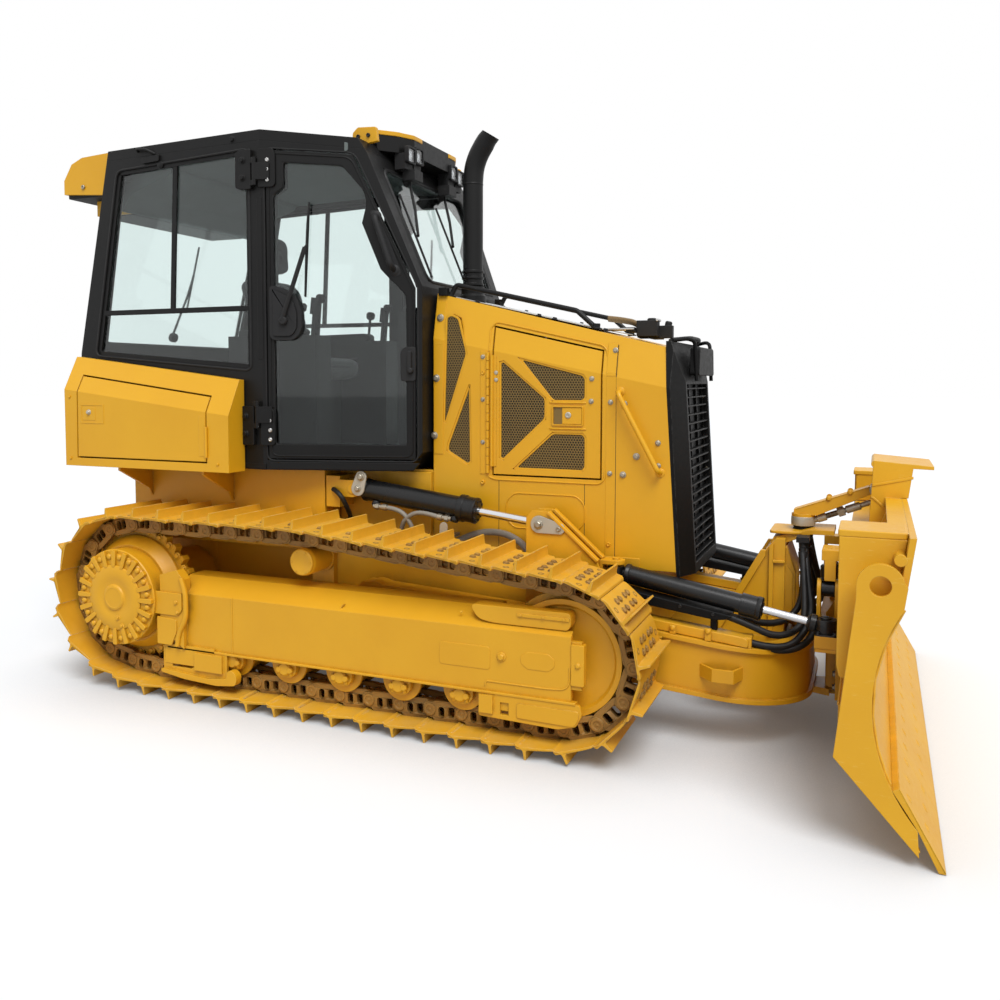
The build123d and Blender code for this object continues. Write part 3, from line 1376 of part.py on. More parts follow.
def build():
    os.makedirs("parts", exist_ok=True)
    paired("track", track())
    save("sprockets", both(sprocket()))
    save("final_drives", both(final_drive()))
    save("idlers", both(idler()))
    save("track_rollers", both(track_rollers()))
    save("carrier_rollers", both(carrier_roller()))
    save("track_frames", both(track_frame()))
    save("main_frame", main_frame())
    save("rear_body", rear_body())
    save("engine_block", engine_block())
    save("hood", hood())
    paired("engine_door", engine_door())
    save("radiator_guard", radiator_guard())
    save("grille", grille())
    save("exhaust_stack", exhaust_stack())
    save("hood_rails", both(hood_rails()))
    save("cab_frame", cab_frame())
    save("cab_roof", cab_roof())
    save("cab_glass", cab_glass())
    paired("cab_door", cab_door())
    paired("door_glass", door_glass())
    save("roof_visor", roof_visor())
    save("work_lights", work_lights())
    save("roof_pod", roof_pod())
    save("seat_base", seat_base())
    save("seat_cushion", seat_cushion())
    save("seat_back", seat_back())
    save("cab_console", cab_console())
    save("lockers", both(locker()))
    paired("locker_door", locker_door())
    frame = c_frame()
    save("c_frame", frame)
    save("tower", tower() - frame)
    save("lift_lugs", both(lift_lug() - frame))
    barrel, rod = lift_ram()
    paired("lift_barrel", barrel)
    paired("lift_rod", rod)
    barrel, rod = angle_ram()
    paired("angle_barrel", barrel)
    paired("angle_rod", rod)
    barrel, rod = tilt_ram()
    save("tilt_barrel", barrel)
    save("tilt_rod", rod)
    save("swing_carrier", swing_carrier())
    save("pitch_link", pitch_link())
    save("blade", blade())
    save("blade_back", blade_back())
    save("cutting_edge", cutting_edge())


build()
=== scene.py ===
"""Visual model of a small bulldozer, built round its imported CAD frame."""
from math import atan2, cos, hypot, pi, radians, sin

import bmesh
import bpy
from mathutils import Matrix, Vector, geometry


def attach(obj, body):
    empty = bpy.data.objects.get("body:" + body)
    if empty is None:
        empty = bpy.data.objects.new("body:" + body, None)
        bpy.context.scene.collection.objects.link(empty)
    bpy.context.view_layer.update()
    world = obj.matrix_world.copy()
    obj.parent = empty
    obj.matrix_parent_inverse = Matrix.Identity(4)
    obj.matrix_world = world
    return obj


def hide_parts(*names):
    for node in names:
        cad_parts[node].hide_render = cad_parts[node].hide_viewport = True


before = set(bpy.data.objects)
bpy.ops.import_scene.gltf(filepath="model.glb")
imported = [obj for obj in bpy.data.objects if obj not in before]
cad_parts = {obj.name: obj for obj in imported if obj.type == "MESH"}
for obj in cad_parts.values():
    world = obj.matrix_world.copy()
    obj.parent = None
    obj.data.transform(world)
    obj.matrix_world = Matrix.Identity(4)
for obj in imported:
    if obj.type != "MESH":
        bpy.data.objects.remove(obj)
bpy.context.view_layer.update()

# ---------------------------------------------------------------- sizes, in millimetres
# Places are stations: X from the rearmost grouser on the ground, Y from the middle, Z up.
ORIGIN_X = 1695.0

CHAIN_PITCH_COUNT = 43
TRACK_Y = 787.0
SHOE_HALF = 200.0
SPROCKET_X, SPROCKET_Z = 170.0, 475.0
IDLER_X, IDLER_Z = 2480.0, 405.0
CARRIER_X, CARRIER_Z = 1208.0, 715.0
ROLLER_XS = [525.0 + 301.0 * i for i in range(6)]
ROLLER_Z = 225.0
WHEELS = [                    # x, z and pin-line radius of what the chain runs round
    (SPROCKET_X, SPROCKET_Z, 349.63),
    (330.0, ROLLER_Z, 120.0),
    (IDLER_X, IDLER_Z, 300.0),
    (CARRIER_X, CARRIER_Z, 110.0),
]
HUB_FACE_Y = 977.0
FRAME_FACE_Y = 920.0

HOOD_HALF = 400.0
HOOD_REAR_X, HOOD_FRONT_X = 1655.0, 2854.0
HOOD_LENGTH = HOOD_FRONT_X - HOOD_REAR_X
HOOD_TOP, HOOD_TOP_FALL = 1985, 275          # top edge at the rear, and its fall to the front
HOOD_CREASE, HOOD_CREASE_FALL = 1765, 235
HOOD_LEAN = 48                # how far the side leans in above the crease
SIDE_Y = 402.0                # where things stand on the hood's sides
FIELD_Y = 391.0               # floor of the recessed fields in the engine doors

CAB_REAR_X, CAB_TURN_X = -420, 885           # the side is widest where its front part turns in
CAB_REAR_HALF, CAB_HALF = 690, 722
CAB_LEAN, CAB_LEAN_RUN = 250, 815
WALL_TURN = CAB_LEAN / CAB_LEAN_RUN

BLADE_HALF = 1290
MOULD_BEND_Z = 834            # the mouldboard is flat above this, and round below
MOULD_X, MOULD_Z, MOULD_RADIUS = 4274.96, 522, 603.8

# Directions that bolts and turned shapes point in
OUT, UP, DOWN, AHEAD, BACK = (0, 1, 0), (0, 0, 1), (0, 0, -1), (1, 0, 0), (-1, 0, 0)

# Outlines, in (x, z), of the screened fields in the engine doors and in the panels behind them
FIELDS = [
    [(2002, 1650), (2025, 1655), (2238, 1480), (2238, 1380), (2024, 1180), (2002, 1190)],
    [(2095, 1670), (2418, 1590), (2432, 1570), (2432, 1480), (2415, 1462), (2268, 1462)],
    [(2070, 1140), (2418, 1140), (2434, 1160), (2434, 1300), (2418, 1320), (2268, 1320)],
]
PANEL_FIELDS = [
    [(1720, 1870), (1752, 1880), (1792, 1862), (1836, 1690), (1722, 1350), (1705, 1360)],
    [(1842, 1540), (1852, 1540), (1858, 1165), (1838, 1150), (1724, 1215), (1728, 1250)],
]


def at(x, y, z):
    """A station, in millimetres, as a point of the frame, in metres."""
    return Vector(((x - ORIGIN_X) / 1000, y / 1000, z / 1000))


def hood_top(x):
    """Height of the hood's top edge over x."""
    return HOOD_TOP - HOOD_TOP_FALL * (x - HOOD_REAR_X) / HOOD_LENGTH


def hood_crease(x):
    """Height where the hood's side starts to lean in."""
    return HOOD_CREASE - HOOD_CREASE_FALL * (x - HOOD_REAR_X) / HOOD_LENGTH


def hood_side(x, z):
    """Half width of the hood at a height."""
    low, high = hood_crease(x), hood_top(x)
    return HOOD_HALF - HOOD_LEAN * max(0.0, min(1.0, (z - low) / (high - low)))


def cab_side(x):
    """Half width of the cab's wall at x."""
    if x < CAB_TURN_X:
        return CAB_REAR_HALF + (CAB_HALF - CAB_REAR_HALF) * (x - CAB_REAR_X) / (CAB_TURN_X - CAB_REAR_X)
    return CAB_HALF - CAB_LEAN * (x - CAB_TURN_X) / CAB_LEAN_RUN


# ---------------------------------------------------------------- shapes
def rounded(outline, radius, steps=4):
    """The outline with each corner turned into an arc."""
    result = []
    count = len(outline)
    for i in range(count):
        corner = Vector(outline[i])
        before = (Vector(outline[i - 1]) - corner)
        after = (Vector(outline[(i + 1) % count]) - corner)
        reach = min(radius, before.length * 0.45, after.length * 0.45)
        start, end = corner + before.normalized() * reach, corner + after.normalized() * reach
        for k in range(steps + 1):
            t = k / steps
            point = start.lerp(corner, t).lerp(corner.lerp(end, t), t)
            result.append((point.x, point.y))
    return result


def rectangle(a0, a1, b0, b1):
    """Outline of an upright rectangle, from its two spans."""
    return [(a0, b0), (a1, b0), (a1, b1), (a0, b1)]


def stacked(rings, sides):
    """Faces of a closed skin through rings of points that follow one another."""
    faces = [tuple(reversed(range(sides)))]
    for ring in range(rings - 1):
        low, high = ring * sides, (ring + 1) * sides
        for i in range(sides):
            j = (i + 1) % sides
            faces.append((low + i, low + j, high + j, high + i))
    return faces + [tuple(range((rings - 1) * sides, rings * sides))]


class Shape:
    """Vertices in metres, and faces, gathered for one mesh."""

    def __init__(self):
        self.points = []
        self.faces = []

    def add(self, points, faces):
        """Take in more points, and faces numbered among them."""
        start = len(self.points)
        self.points += points
        self.faces += [tuple(start + i for i in face) for face in faces]
        return self

    def join(self, other, move=None):
        """Take in another shape, moved by a matrix if there is one."""
        points = [move @ p for p in other.points] if move else list(other.points)
        return self.add(points, other.faces)

    def prism(self, outline, step, holes=()):
        """A flat outline of points swept by a step; holes go right through."""
        loops = [list(outline)] + [list(hole) for hole in holes]
        flat = [p for loop in loops for p in loop]
        count = len(flat)
        points = flat + [p + step for p in flat]
        if holes:
            caps = [tuple(t) for t in geometry.tessellate_polygon(loops)]
        else:
            caps = [tuple(range(count))]
        faces = caps + [tuple(count + i for i in reversed(cap)) for cap in caps]
        start = 0
        for loop in loops:
            n = len(loop)
            for i in range(n):
                j = (i + 1) % n
                faces.append((start + j, start + i, count + start + i, count + start + j))
            start += n
        return self.add(points, faces)

    def xz(self, outline, y0, y1, holes=()):
        """An outline in (x, z), swept from y0 to y1."""
        loop = [at(x, y0, z) for x, z in outline]
        inner = [[at(x, y0, z) for x, z in hole] for hole in holes]
        return self.prism(loop, Vector((0, (y1 - y0) / 1000, 0)), inner)

    def xy(self, outline, z0, z1):
        """An outline in (x, y), swept from z0 to z1."""
        return self.prism([at(x, y, z0) for x, y in outline], Vector((0, 0, (z1 - z0) / 1000)))

    def yz(self, outline, x0, x1):
        """An outline in (y, z), swept from x0 to x1."""
        return self.prism([at(x0, y, z) for y, z in outline], Vector(((x1 - x0) / 1000, 0, 0)))

    def box(self, x0, x1, y0, y1, z0, z1):
        """An upright box between its spans."""
        return self.xz(rectangle(x0, x1, z0, z1), y0, y1)

    def lathe(self, start, axis, profile, sides=24, phase=0.0):
        """Rings of (distance along the axis, radius), in millimetres, closed at both ends."""
        axis = Vector(axis).normalized()
        side = axis.orthogonal().normalized()
        other = axis.cross(side)
        points = []
        for along, radius in profile:
            for i in range(sides):
                angle = 2 * pi * i / sides + phase
                reach = (side * cos(angle) + other * sin(angle)) * radius
                points.append(start + (axis * along + reach) / 1000)
        return self.add(points, stacked(len(profile), sides))

    def bolt(self, place, axis, size, washer=True, turn=0.3):
        """A hexagon head, size across its corners, on a washer."""
        low = 0.0
        if washer:
            self.lathe(
                place, axis, [(-1, size * 0.72), (size * 0.1, size * 0.72), (size * 0.14, size * 0.66)], 16,
            )
            low = size * 0.12
        head = [(low, size * 0.5), (low + size * 0.28, size * 0.5), (low + size * 0.36, size * 0.4)]
        return self.lathe(place, axis, head, 6, turn)

    def cap_screw(self, place, axis, size):
        """A round head with a dished top."""
        profile = [(-1, size * 0.5), (size * 0.3, size * 0.5), (size * 0.38, size * 0.42)]
        profile += [(size * 0.38, size * 0.26), (size * 0.26, size * 0.22)]
        return self.lathe(place, axis, profile, 14)

    def tube(self, points, radius, sides=12, squash=1.0):
        """A round bar through the points, with mitred bends."""
        flat = []
        up = None
        for i, point in enumerate(points):
            before = points[max(i - 1, 0)]
            after = points[min(i + 1, len(points) - 1)]
            heading = (after - before).normalized()
            if up is None:
                up = heading.orthogonal().normalized()
            up = (up - heading * up.dot(heading)).normalized()
            side = heading.cross(up)
            for k in range(sides):
                angle = 2 * pi * k / sides
                flat.append(point + (up * cos(angle) + side * sin(angle) * squash) * radius / 1000)
        return self.add(flat, stacked(len(points), sides))


def bent(points, radius, steps=5):
    """The points of a bar, in metres, with its corners turned into arcs."""
    result = [points[0]]
    for i in range(1, len(points) - 1):
        corner = points[i]
        before, after = points[i - 1] - corner, points[i + 1] - corner
        reach = min(radius / 1000, before.length * 0.45, after.length * 0.45)
        start, end = corner + before.normalized() * reach, corner + after.normalized() * reach
        for k in range(steps + 1):
            t = k / steps
            result.append(start.lerp(corner, t).lerp(corner.lerp(end, t), t))
    return result + [points[-1]]


def mirrored(shape):
    """The shape on the machine's other side."""
    other = Shape()
    flip = Matrix.Scale(-1, 4, (0, 1, 0))
    other.points = [flip @ p for p in shape.points]
    other.faces = [tuple(reversed(face)) for face in shape.faces]
    return other


SHARP_ANGLE, BEVEL_ANGLE = radians(38), radians(48)


def new_piece(name, shape):
    """An object in the scene from a shape, with its faces turned outwards."""
    mesh = bpy.data.meshes.new(name)
    mesh.from_pydata([tuple(p) for p in shape.points], [], shape.faces)
    work = bmesh.new()
    work.from_mesh(mesh)
    bmesh.ops.recalc_face_normals(work, faces=work.faces)
    work.to_mesh(mesh)
    work.free()
    piece = bpy.data.objects.new(name, mesh)
    bpy.context.collection.objects.link(piece)
    return piece


def make(name, shape, material, body="chassis", slot=None, bevel=1.5, segments=2):
    """A mesh piece riding on a body, with its material; the slot argument is not used."""
    piece = new_piece(name, shape)
    mesh = piece.data
    mesh.materials.append(material)
    mesh.shade_smooth()
    mesh.set_sharp_from_angle(angle=SHARP_ANGLE)
    if bevel:
        rounding = piece.modifiers.new("edges", "BEVEL")
        rounding.width = bevel / 1000
        rounding.segments = segments
        rounding.limit_method = "ANGLE"
        rounding.angle_limit = BEVEL_ANGLE
        rounding.harden_normals = True
    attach(piece, body)
    return piece


def twin(name, shape, material, body="chassis", **options):
    """One piece that holds the shape and its mirror image."""
    make(name, Shape().join(shape).join(mirrored(shape)), material, body, **options)


def pair(name, shape, material, body, **options):
    """The same piece on each side, riding on BODY_left and BODY_right."""
    make(name + "_left", shape, material, body + "_left", **options)
    make(name + "_right", mirrored(shape), material, body + "_right", **options)


def line(name, points, radius, material, body="chassis"):
    """A smooth hose: a curve with these control points."""
    curve = bpy.data.curves.new(name, "CURVE")
    curve.dimensions = "3D"
    spline = curve.splines.new("NURBS")
    spline.points.add(len(points) - 1)
    for target, point in zip(spline.points, points):
        target.co = (*point, 1.0)
    spline.order_u = 3
    spline.use_endpoint_u = True
    curve.resolution_u = 10
    curve.bevel_depth = radius / 1000
    curve.bevel_resolution = 3
    curve.use_fill_caps = True
    curve.materials.append(material)
    piece = bpy.data.objects.new(name, curve)
    bpy.context.collection.objects.link(piece)
    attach(piece, body)


# ---------------------------------------------------------------- materials
class Nodes:
    """A material under construction: short calls that add shader nodes and join them."""

    def __init__(self, name):
        self.material = bpy.data.materials.new(name)
        self.material.use_nodes = True
        self.tree = self.material.node_tree
        self.shader = self.tree.nodes["Principled BSDF"]
        self.place = self.node("TexCoord").outputs["Object"]

    def feed(self, socket, value):
        """Link a socket to another node's, or set it to a plain value."""
        if isinstance(value, bpy.types.NodeSocket):
            self.tree.links.new(value, socket)
        else:
            socket.default_value = value

    def node(self, kind, sockets=None, **settings):
        """A shader node, with its settings and what feeds its sockets."""
        node = self.tree.nodes.new("ShaderNode" + kind)
        for name, value in settings.items():
            setattr(node, name, value)
        for socket, value in (sockets or {}).items():
            self.feed(node.inputs[socket], value)
        return node

    def noise(self, scale, detail=3.0, stretch=None, roughness=0.55):
        """Clouded values over the piece."""
        place = self.place
        if stretch:
            place = self.node("Mapping", {"Vector": place, "Scale": stretch}).outputs[0]
        sockets = {"Vector": place, "Scale": scale, "Detail": detail, "Roughness": roughness}
        return self.node("TexNoise", sockets).outputs["Fac"]

    def span(self, value, low, high, to_low=0.0, to_high=1.0):
        """A value carried from one range to another."""
        sockets = {"Value": value, "From Min": low, "From Max": high, "To Min": to_low, "To Max": to_high}
        return self.node("MapRange", sockets).outputs[0]

    def times(self, a, b):
        """The product of two values."""
        return self.node("Math", {0: a, 1: b}, operation="MULTIPLY").outputs[0]

    def mix(self, factor, a, b):
        """A colour between two others."""
        node = self.node("Mix", data_type="RGBA")
        for index, value in ((0, factor), (6, a), (7, b)):
            self.feed(node.inputs[index], value)
        return node.outputs[2]

    def set(self, **values):
        """Feed the shader's own sockets, with _ for each space in a name."""
        for name, value in values.items():
            self.feed(self.shader.inputs[name.replace("_", " ")], value)


def rgb(red, green, blue):
    """An opaque colour."""
    return (red, green, blue, 1.0)


def paint(
    name, base, deep, rough=0.4, grime_and_shade=None, grime_and_shade_share=0.0, wear_and_highlight=None, wear_and_highlight_share=0.0,
    edge=3.0, grain=0.10, grain_scale=500.0, dust=None, dust_share=0.0, metallic=0.0, coat=0.0,
    specular=0.5, streaks=None,
):
    """Enamel on steel: clouded colour, softened edges, grime with painted shade in the corners, and wear with
    a painted highlight on the edges.
    """
    m = Nodes(name)
    cloud = m.noise(2.3, 5.0)
    fleck = m.noise(46.0, 5.0, roughness=0.65)
    colour = m.mix(m.span(cloud, 0.35, 0.65), base, deep)
    colour = m.mix(m.span(fleck, 0.56, 0.75, 0.0, 0.35), colour, deep)
    if dust:
        facing = m.node("SeparateXYZ", {0: m.node("NewGeometry").outputs["Normal"]}).outputs["Z"]
        lies = m.times(m.span(facing, 0.3, 0.95), m.span(m.noise(11.0, 6.0), 0.38, 0.66))
        colour = m.mix(m.times(lies, dust_share), colour, dust)
    if streaks:
        # Long rubbed lines, as spoil leaves them
        lines = m.noise(3.0, 6.0, stretch=(7.0, 1.2, 40.0), roughness=0.7)
        colour = m.mix(m.span(lines, 0.60, 0.70, 0.0, 0.55), colour, streaks)
    if grime_and_shade:
        # Darker in the hollows by ambient occlusion: painted shade, tinted with the grime colour
        open_air = m.node("AmbientOcclusion", {"Distance": 0.07}, samples=4).outputs["AO"]
        patch = m.span(m.noise(19.0, 5.0), 0.3, 0.62, 0.35, 1.0)
        colour = m.mix(m.times(m.times(m.span(open_air, 0.85, 0.3), patch), grime_and_shade_share), colour, grime_and_shade)
    soft = m.node("Bevel", {"Radius": edge / 1000}, samples=4).outputs[0]
    if wear_and_highlight:
        # Lighter along the edges: wear, and a painted highlight where rounded edges catch the light
        flat = m.node("NewGeometry").outputs["Normal"]
        turn = m.node("VectorMath", {0: soft, 1: flat}, operation="DOT_PRODUCT").outputs["Value"]
        worn_and_lit_edge = m.times(m.span(turn, 0.99, 0.9), m.span(m.noise(30.0, 4.0), 0.42, 0.58))
        colour = m.mix(m.times(worn_and_lit_edge, wear_and_highlight_share), colour, wear_and_highlight)
    skin = m.noise(grain_scale, 2.0)
    sockets = {"Strength": grain, "Distance": 0.0012, "Height": skin, "Normal": soft}
    m.set(
        Base_Color=colour,
        Roughness=m.span(fleck, 0.3, 0.7, rough - 0.05, rough + 0.08),
        Normal=m.node("Bump", sockets).outputs[0],
        Metallic=metallic,
        Coat_Weight=coat,
        Specular_IOR_Level=specular,
    )
    return m.material


# Soil colour that the occlusion mask lays into the shoes' hollows: dirt and painted shade together
SOIL = rgb(0.115, 0.062, 0.016)
# In the enamel, frame and blade yellows the hollow colour is a darker yellow, painted shade; in the frame and
# blade yellows the edge colour is a paler yellow, a painted highlight
YELLOW = paint(
    "yellow_enamel", rgb(0.84, 0.44, 0.012), rgb(0.80, 0.405, 0.010), rough=0.36,
    grime_and_shade=rgb(0.34, 0.17, 0.01), grime_and_shade_share=0.35, edge=3.5, grain=0.05,
)
FRAME_YELLOW = paint(
    "yellow_frame_enamel", rgb(0.84, 0.435, 0.014), rgb(0.79, 0.395, 0.012), rough=0.42,
    grime_and_shade=rgb(0.20, 0.10, 0.008), grime_and_shade_share=0.7, wear_and_highlight=rgb(0.90, 0.56, 0.08), wear_and_highlight_share=0.5,
    edge=4.0, grain=0.1,
)
SHOE_YELLOW = paint(
    "yellow_worn_shoes", rgb(0.86, 0.46, 0.024), rgb(0.76, 0.39, 0.02), rough=0.5,
    grime_and_shade=SOIL, grime_and_shade_share=0.5, wear_and_highlight=rgb(0.72, 0.54, 0.27), wear_and_highlight_share=0.95, edge=3.0,
    grain=0.35, grain_scale=260.0, dust=rgb(0.70, 0.46, 0.14), dust_share=0.3,
)
# Soiled chain and shoe bolts; their strong occlusion darkening is painted shade as much as soil
CHAIN_BROWN = paint(
    "chain_enamel_soiled_and_shaded", rgb(0.50, 0.26, 0.045), rgb(0.30, 0.16, 0.035), rough=0.55,
    grime_and_shade=rgb(0.055, 0.032, 0.012), grime_and_shade_share=0.95, wear_and_highlight=rgb(0.60, 0.36, 0.10), wear_and_highlight_share=0.7,
    edge=3.0, grain=0.5, grain_scale=200.0,
)
SHOE_BOLT = paint(
    "shoe_bolts_soiled_and_shaded", rgb(0.50, 0.28, 0.05), rgb(0.30, 0.16, 0.035), rough=0.5,
    grime_and_shade=SOIL, grime_and_shade_share=0.9, wear_and_highlight=rgb(0.62, 0.42, 0.16), wear_and_highlight_share=0.8, edge=2.0, grain=0.4,
    grain_scale=260.0,
)
BLACK = paint(
    "black_enamel", rgb(0.0055, 0.0055, 0.0058), rgb(0.0078, 0.0078, 0.0078), rough=0.42,
    grime_and_shade=rgb(0.015, 0.014, 0.011), grime_and_shade_share=0.4, edge=3.5, grain=0.12, grain_scale=700.0,
    specular=0.24,
)
# Grey edges: a painted highlight along the guard's and grille's edges, with some wear
GUARD_BLACK = paint(
    "black_satin_guard", rgb(0.005, 0.005, 0.0052), rgb(0.007, 0.007, 0.007), rough=0.5,
    grime_and_shade=rgb(0.012, 0.011, 0.009), grime_and_shade_share=0.3, edge=4.0, grain=0.2, grain_scale=600.0,
    specular=0.15, wear_and_highlight=rgb(0.16, 0.16, 0.155), wear_and_highlight_share=0.6,
)
PLASTIC = paint(
    "black_moulded_plastic", rgb(0.011, 0.011, 0.012), rgb(0.016, 0.016, 0.016), rough=0.6,
    edge=2.5, grain=0.16, grain_scale=600.0, specular=0.35,
)
RUBBER = paint(
    "rubber_hose", rgb(0.007, 0.007, 0.0075), rgb(0.011, 0.011, 0.011), rough=0.5,
    edge=1.0, grain=0.4, grain_scale=420.0, specular=0.35,
)
GREY_HOSE = paint(
    "grey_hose", rgb(0.36, 0.34, 0.30), rgb(0.28, 0.26, 0.22), rough=0.55, edge=1.0, grain=0.4,
    grain_scale=420.0,
)
CHROME = paint(
    "chromed_rod", rgb(0.80, 0.81, 0.83), rgb(0.72, 0.73, 0.76), rough=0.14,
    edge=1.0, grain=0.02, metallic=1.0,
)
ZINC = paint(
    "zinc_bolts", rgb(0.46, 0.42, 0.34), rgb(0.36, 0.32, 0.25), rough=0.38,
    grime_and_shade=rgb(0.12, 0.09, 0.05), grime_and_shade_share=0.6, edge=1.2, grain=0.3, metallic=0.75,
)
PALE_PLATE = paint(
    "keeper_plate", rgb(0.56, 0.53, 0.45), rgb(0.47, 0.44, 0.36), rough=0.42,
    grime_and_shade=rgb(0.20, 0.17, 0.11), grime_and_shade_share=0.5, edge=2.5, grain=0.25, metallic=0.35,
)
CAST = paint(
    "cast_iron", rgb(0.05, 0.05, 0.05), rgb(0.035, 0.035, 0.034), rough=0.6, edge=4.0, grain=0.6,
    grain_scale=160.0,
)
SCREEN = paint(
    "bronze_screen", rgb(0.24, 0.15, 0.035), rgb(0.19, 0.12, 0.03), rough=0.45, edge=0.5, grain=0.05,
)
# Dark sheet set behind the screens as painted shade of the space inside; also the dark seam lines
SHADE_AND_SEAM_DARK = paint(
    "painted_shade_and_seam_dark", rgb(0.035, 0.024, 0.010), rgb(0.022, 0.016, 0.009), rough=0.7, edge=1.0, grain=0.1,
)
TIN = paint(
    "bare_tin", rgb(0.66, 0.66, 0.65), rgb(0.56, 0.56, 0.55), rough=0.3, edge=1.2, grain=0.1, metallic=0.85,
)
CYLINDER_BLACK = paint(
    "black_gloss_barrels", rgb(0.007, 0.007, 0.0075), rgb(0.010, 0.010, 0.0105), rough=0.3,
    edge=2.0, grain=0.05, specular=0.4,
)
BLADE_YELLOW = paint(
    "yellow_blade_enamel", rgb(0.86, 0.46, 0.016), rgb(0.80, 0.405, 0.013), rough=0.4,
    grime_and_shade=rgb(0.22, 0.11, 0.01), grime_and_shade_share=0.5, wear_and_highlight=rgb(0.92, 0.62, 0.14), wear_and_highlight_share=0.6,
    edge=4.0, grain=0.12, streaks=rgb(0.90, 0.60, 0.12),
)
LINING = paint(
    "headlining_felt", rgb(0.19, 0.22, 0.215), rgb(0.16, 0.185, 0.18), rough=0.9,
    edge=2.0, grain=0.12, grain_scale=300.0, specular=0.2,
)
FLOOR_LINING = paint(
    "floor_lining", rgb(0.055, 0.066, 0.065), rgb(0.045, 0.055, 0.054), rough=0.85,
    edge=2.0, grain=0.12, grain_scale=300.0, specular=0.2,
)
RED_LENS = paint(
    "red_lamp_lens", rgb(0.42, 0.012, 0.010), rgb(0.34, 0.008, 0.008), rough=0.2, edge=1.0, grain=0.1,
)
TOP_GREY = paint(
    "light_grey_plate", rgb(0.62, 0.64, 0.64), rgb(0.54, 0.56, 0.57), rough=0.35, edge=2.0, grain=0.05,
)

TAN = paint("tan_lever", rgb(0.30, 0.20, 0.09), rgb(0.22, 0.14, 0.06), rough=0.4)


def glazing(name, tint, rough=0.015):
    """Clear glass with a tint and a trace of haze."""
    m = Nodes(name)
    haze = m.noise(1.4, 4.0)
    m.set(
        Base_Color=m.mix(m.span(haze, 0.35, 0.65), tint, tuple(c * 0.985 for c in tint[:3]) + (1.0,)),
        Roughness=m.span(haze, 0.3, 0.7, rough, rough + 0.02),
        IOR=1.45,
        Transmission_Weight=1.0,
    )
    return m.material


GLASS = glazing("tinted_safety_glass", rgb(0.865, 0.94, 0.93))
LAMP_GLASS = glazing("lamp_lens", rgb(0.97, 0.98, 0.98), 0.05)


def reflector():
    """A lamp's silvered bowl, pressed in small cells."""
    m = Nodes("lamp_reflector")
    cells = m.node("TexVoronoi", {"Vector": m.place, "Scale": 90.0, "Randomness": 0.0}).outputs["Distance"]
    m.set(
        Base_Color=m.mix(m.span(cells, 0.2, 0.6), rgb(0.88, 0.90, 0.92), rgb(0.42, 0.45, 0.50)),
        Roughness=m.span(cells, 0.2, 0.6, 0.12, 0.25),
        Metallic=1.0,
        Normal=m.node("Bump", {"Strength": 0.7, "Distance": 0.003, "Height": cells}).outputs[0],
    )
    return m.material


REFLECTOR = reflector()


def cloth():
    """Woven seat cloth: crossed threads, small colour flecks and a soft sheen."""
    m = Nodes("seat_weave")
    waves = []
    for direction in ("X", "Z"):
        sockets = {"Vector": m.place, "Scale": 210.0, "Distortion": 0.6, "Detail": 1.0}
        waves.append(m.node("TexWave", sockets, bands_direction=direction).outputs["Fac"])
    weave = m.times(waves[0], waves[1])
    fleck = m.noise(240.0, 3.0)
    colour = m.mix(m.span(weave, 0.1, 0.7), rgb(0.016, 0.017, 0.019), rgb(0.050, 0.052, 0.056))
    colour = m.mix(m.span(fleck, 0.6, 0.75, 0.0, 0.5), colour, rgb(0.075, 0.078, 0.084))
    bump = m.node("Bump", {"Strength": 0.6, "Distance": 0.0012, "Height": weave}).outputs[0]
    m.set(Base_Color=colour, Roughness=m.span(fleck, 0.3, 0.7, 0.8, 0.95), Normal=bump)
    m.shader.inputs["Sheen Weight"].default_value = 0.35
    m.shader.inputs["Sheen Roughness"].default_value = 0.5
    return m.material


CLOTH = cloth()

# What each CAD node that stays in view is finished with
FINISHES = {
    YELLOW: "hood engine_door_left engine_door_right lockers locker_door_left locker_door_right roof_pod",
    FRAME_YELLOW: (
        "rear_body main_frame final_drives idlers track_rollers carrier_rollers track_frames c_frame tower"
        " lift_lugs swing_carrier pitch_link sprockets"
    ),
    BLADE_YELLOW: "blade blade_back cutting_edge",
    BLACK: "cab_frame cab_roof cab_door_left cab_door_right hood_rails roof_visor exhaust_stack",
    GUARD_BLACK: "radiator_guard grille",
    CYLINDER_BLACK: "lift_barrel_left lift_barrel_right angle_barrel_left angle_barrel_right tilt_barrel",
    CHROME: "lift_rod_left lift_rod_right angle_rod_left angle_rod_right tilt_rod",
    PLASTIC: "work_lights seat_base cab_console",
    GLASS: "cab_glass door_glass_left door_glass_right",
    CAST: "engine_block",
}
for finish, names in FINISHES.items():
    for node_name in names.split():
        for material_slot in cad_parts[node_name].material_slots:
            material_slot.material = finish


# ---------------------------------------------------------------- camera, lamps and floor
CAMERA_PLACE = (1.96506, -4.42316, 1.56355)
CAMERA_YAW, CAMERA_PITCH, CAMERA_ROLL = radians(22.3433), radians(-3.4537), radians(0.13988)
CAMERA_LENS, CAMERA_SHIFT = 32.966, -0.065
SUN_TOWARDS, SUN_POWER, SUN_ANGLE = (0.42, -0.60, 1.0), 2.35, radians(34)
SKY_LIGHT = 0.40              # the sky's strength as light, where it shows as 1
FLOOR_RADIUS = 80000


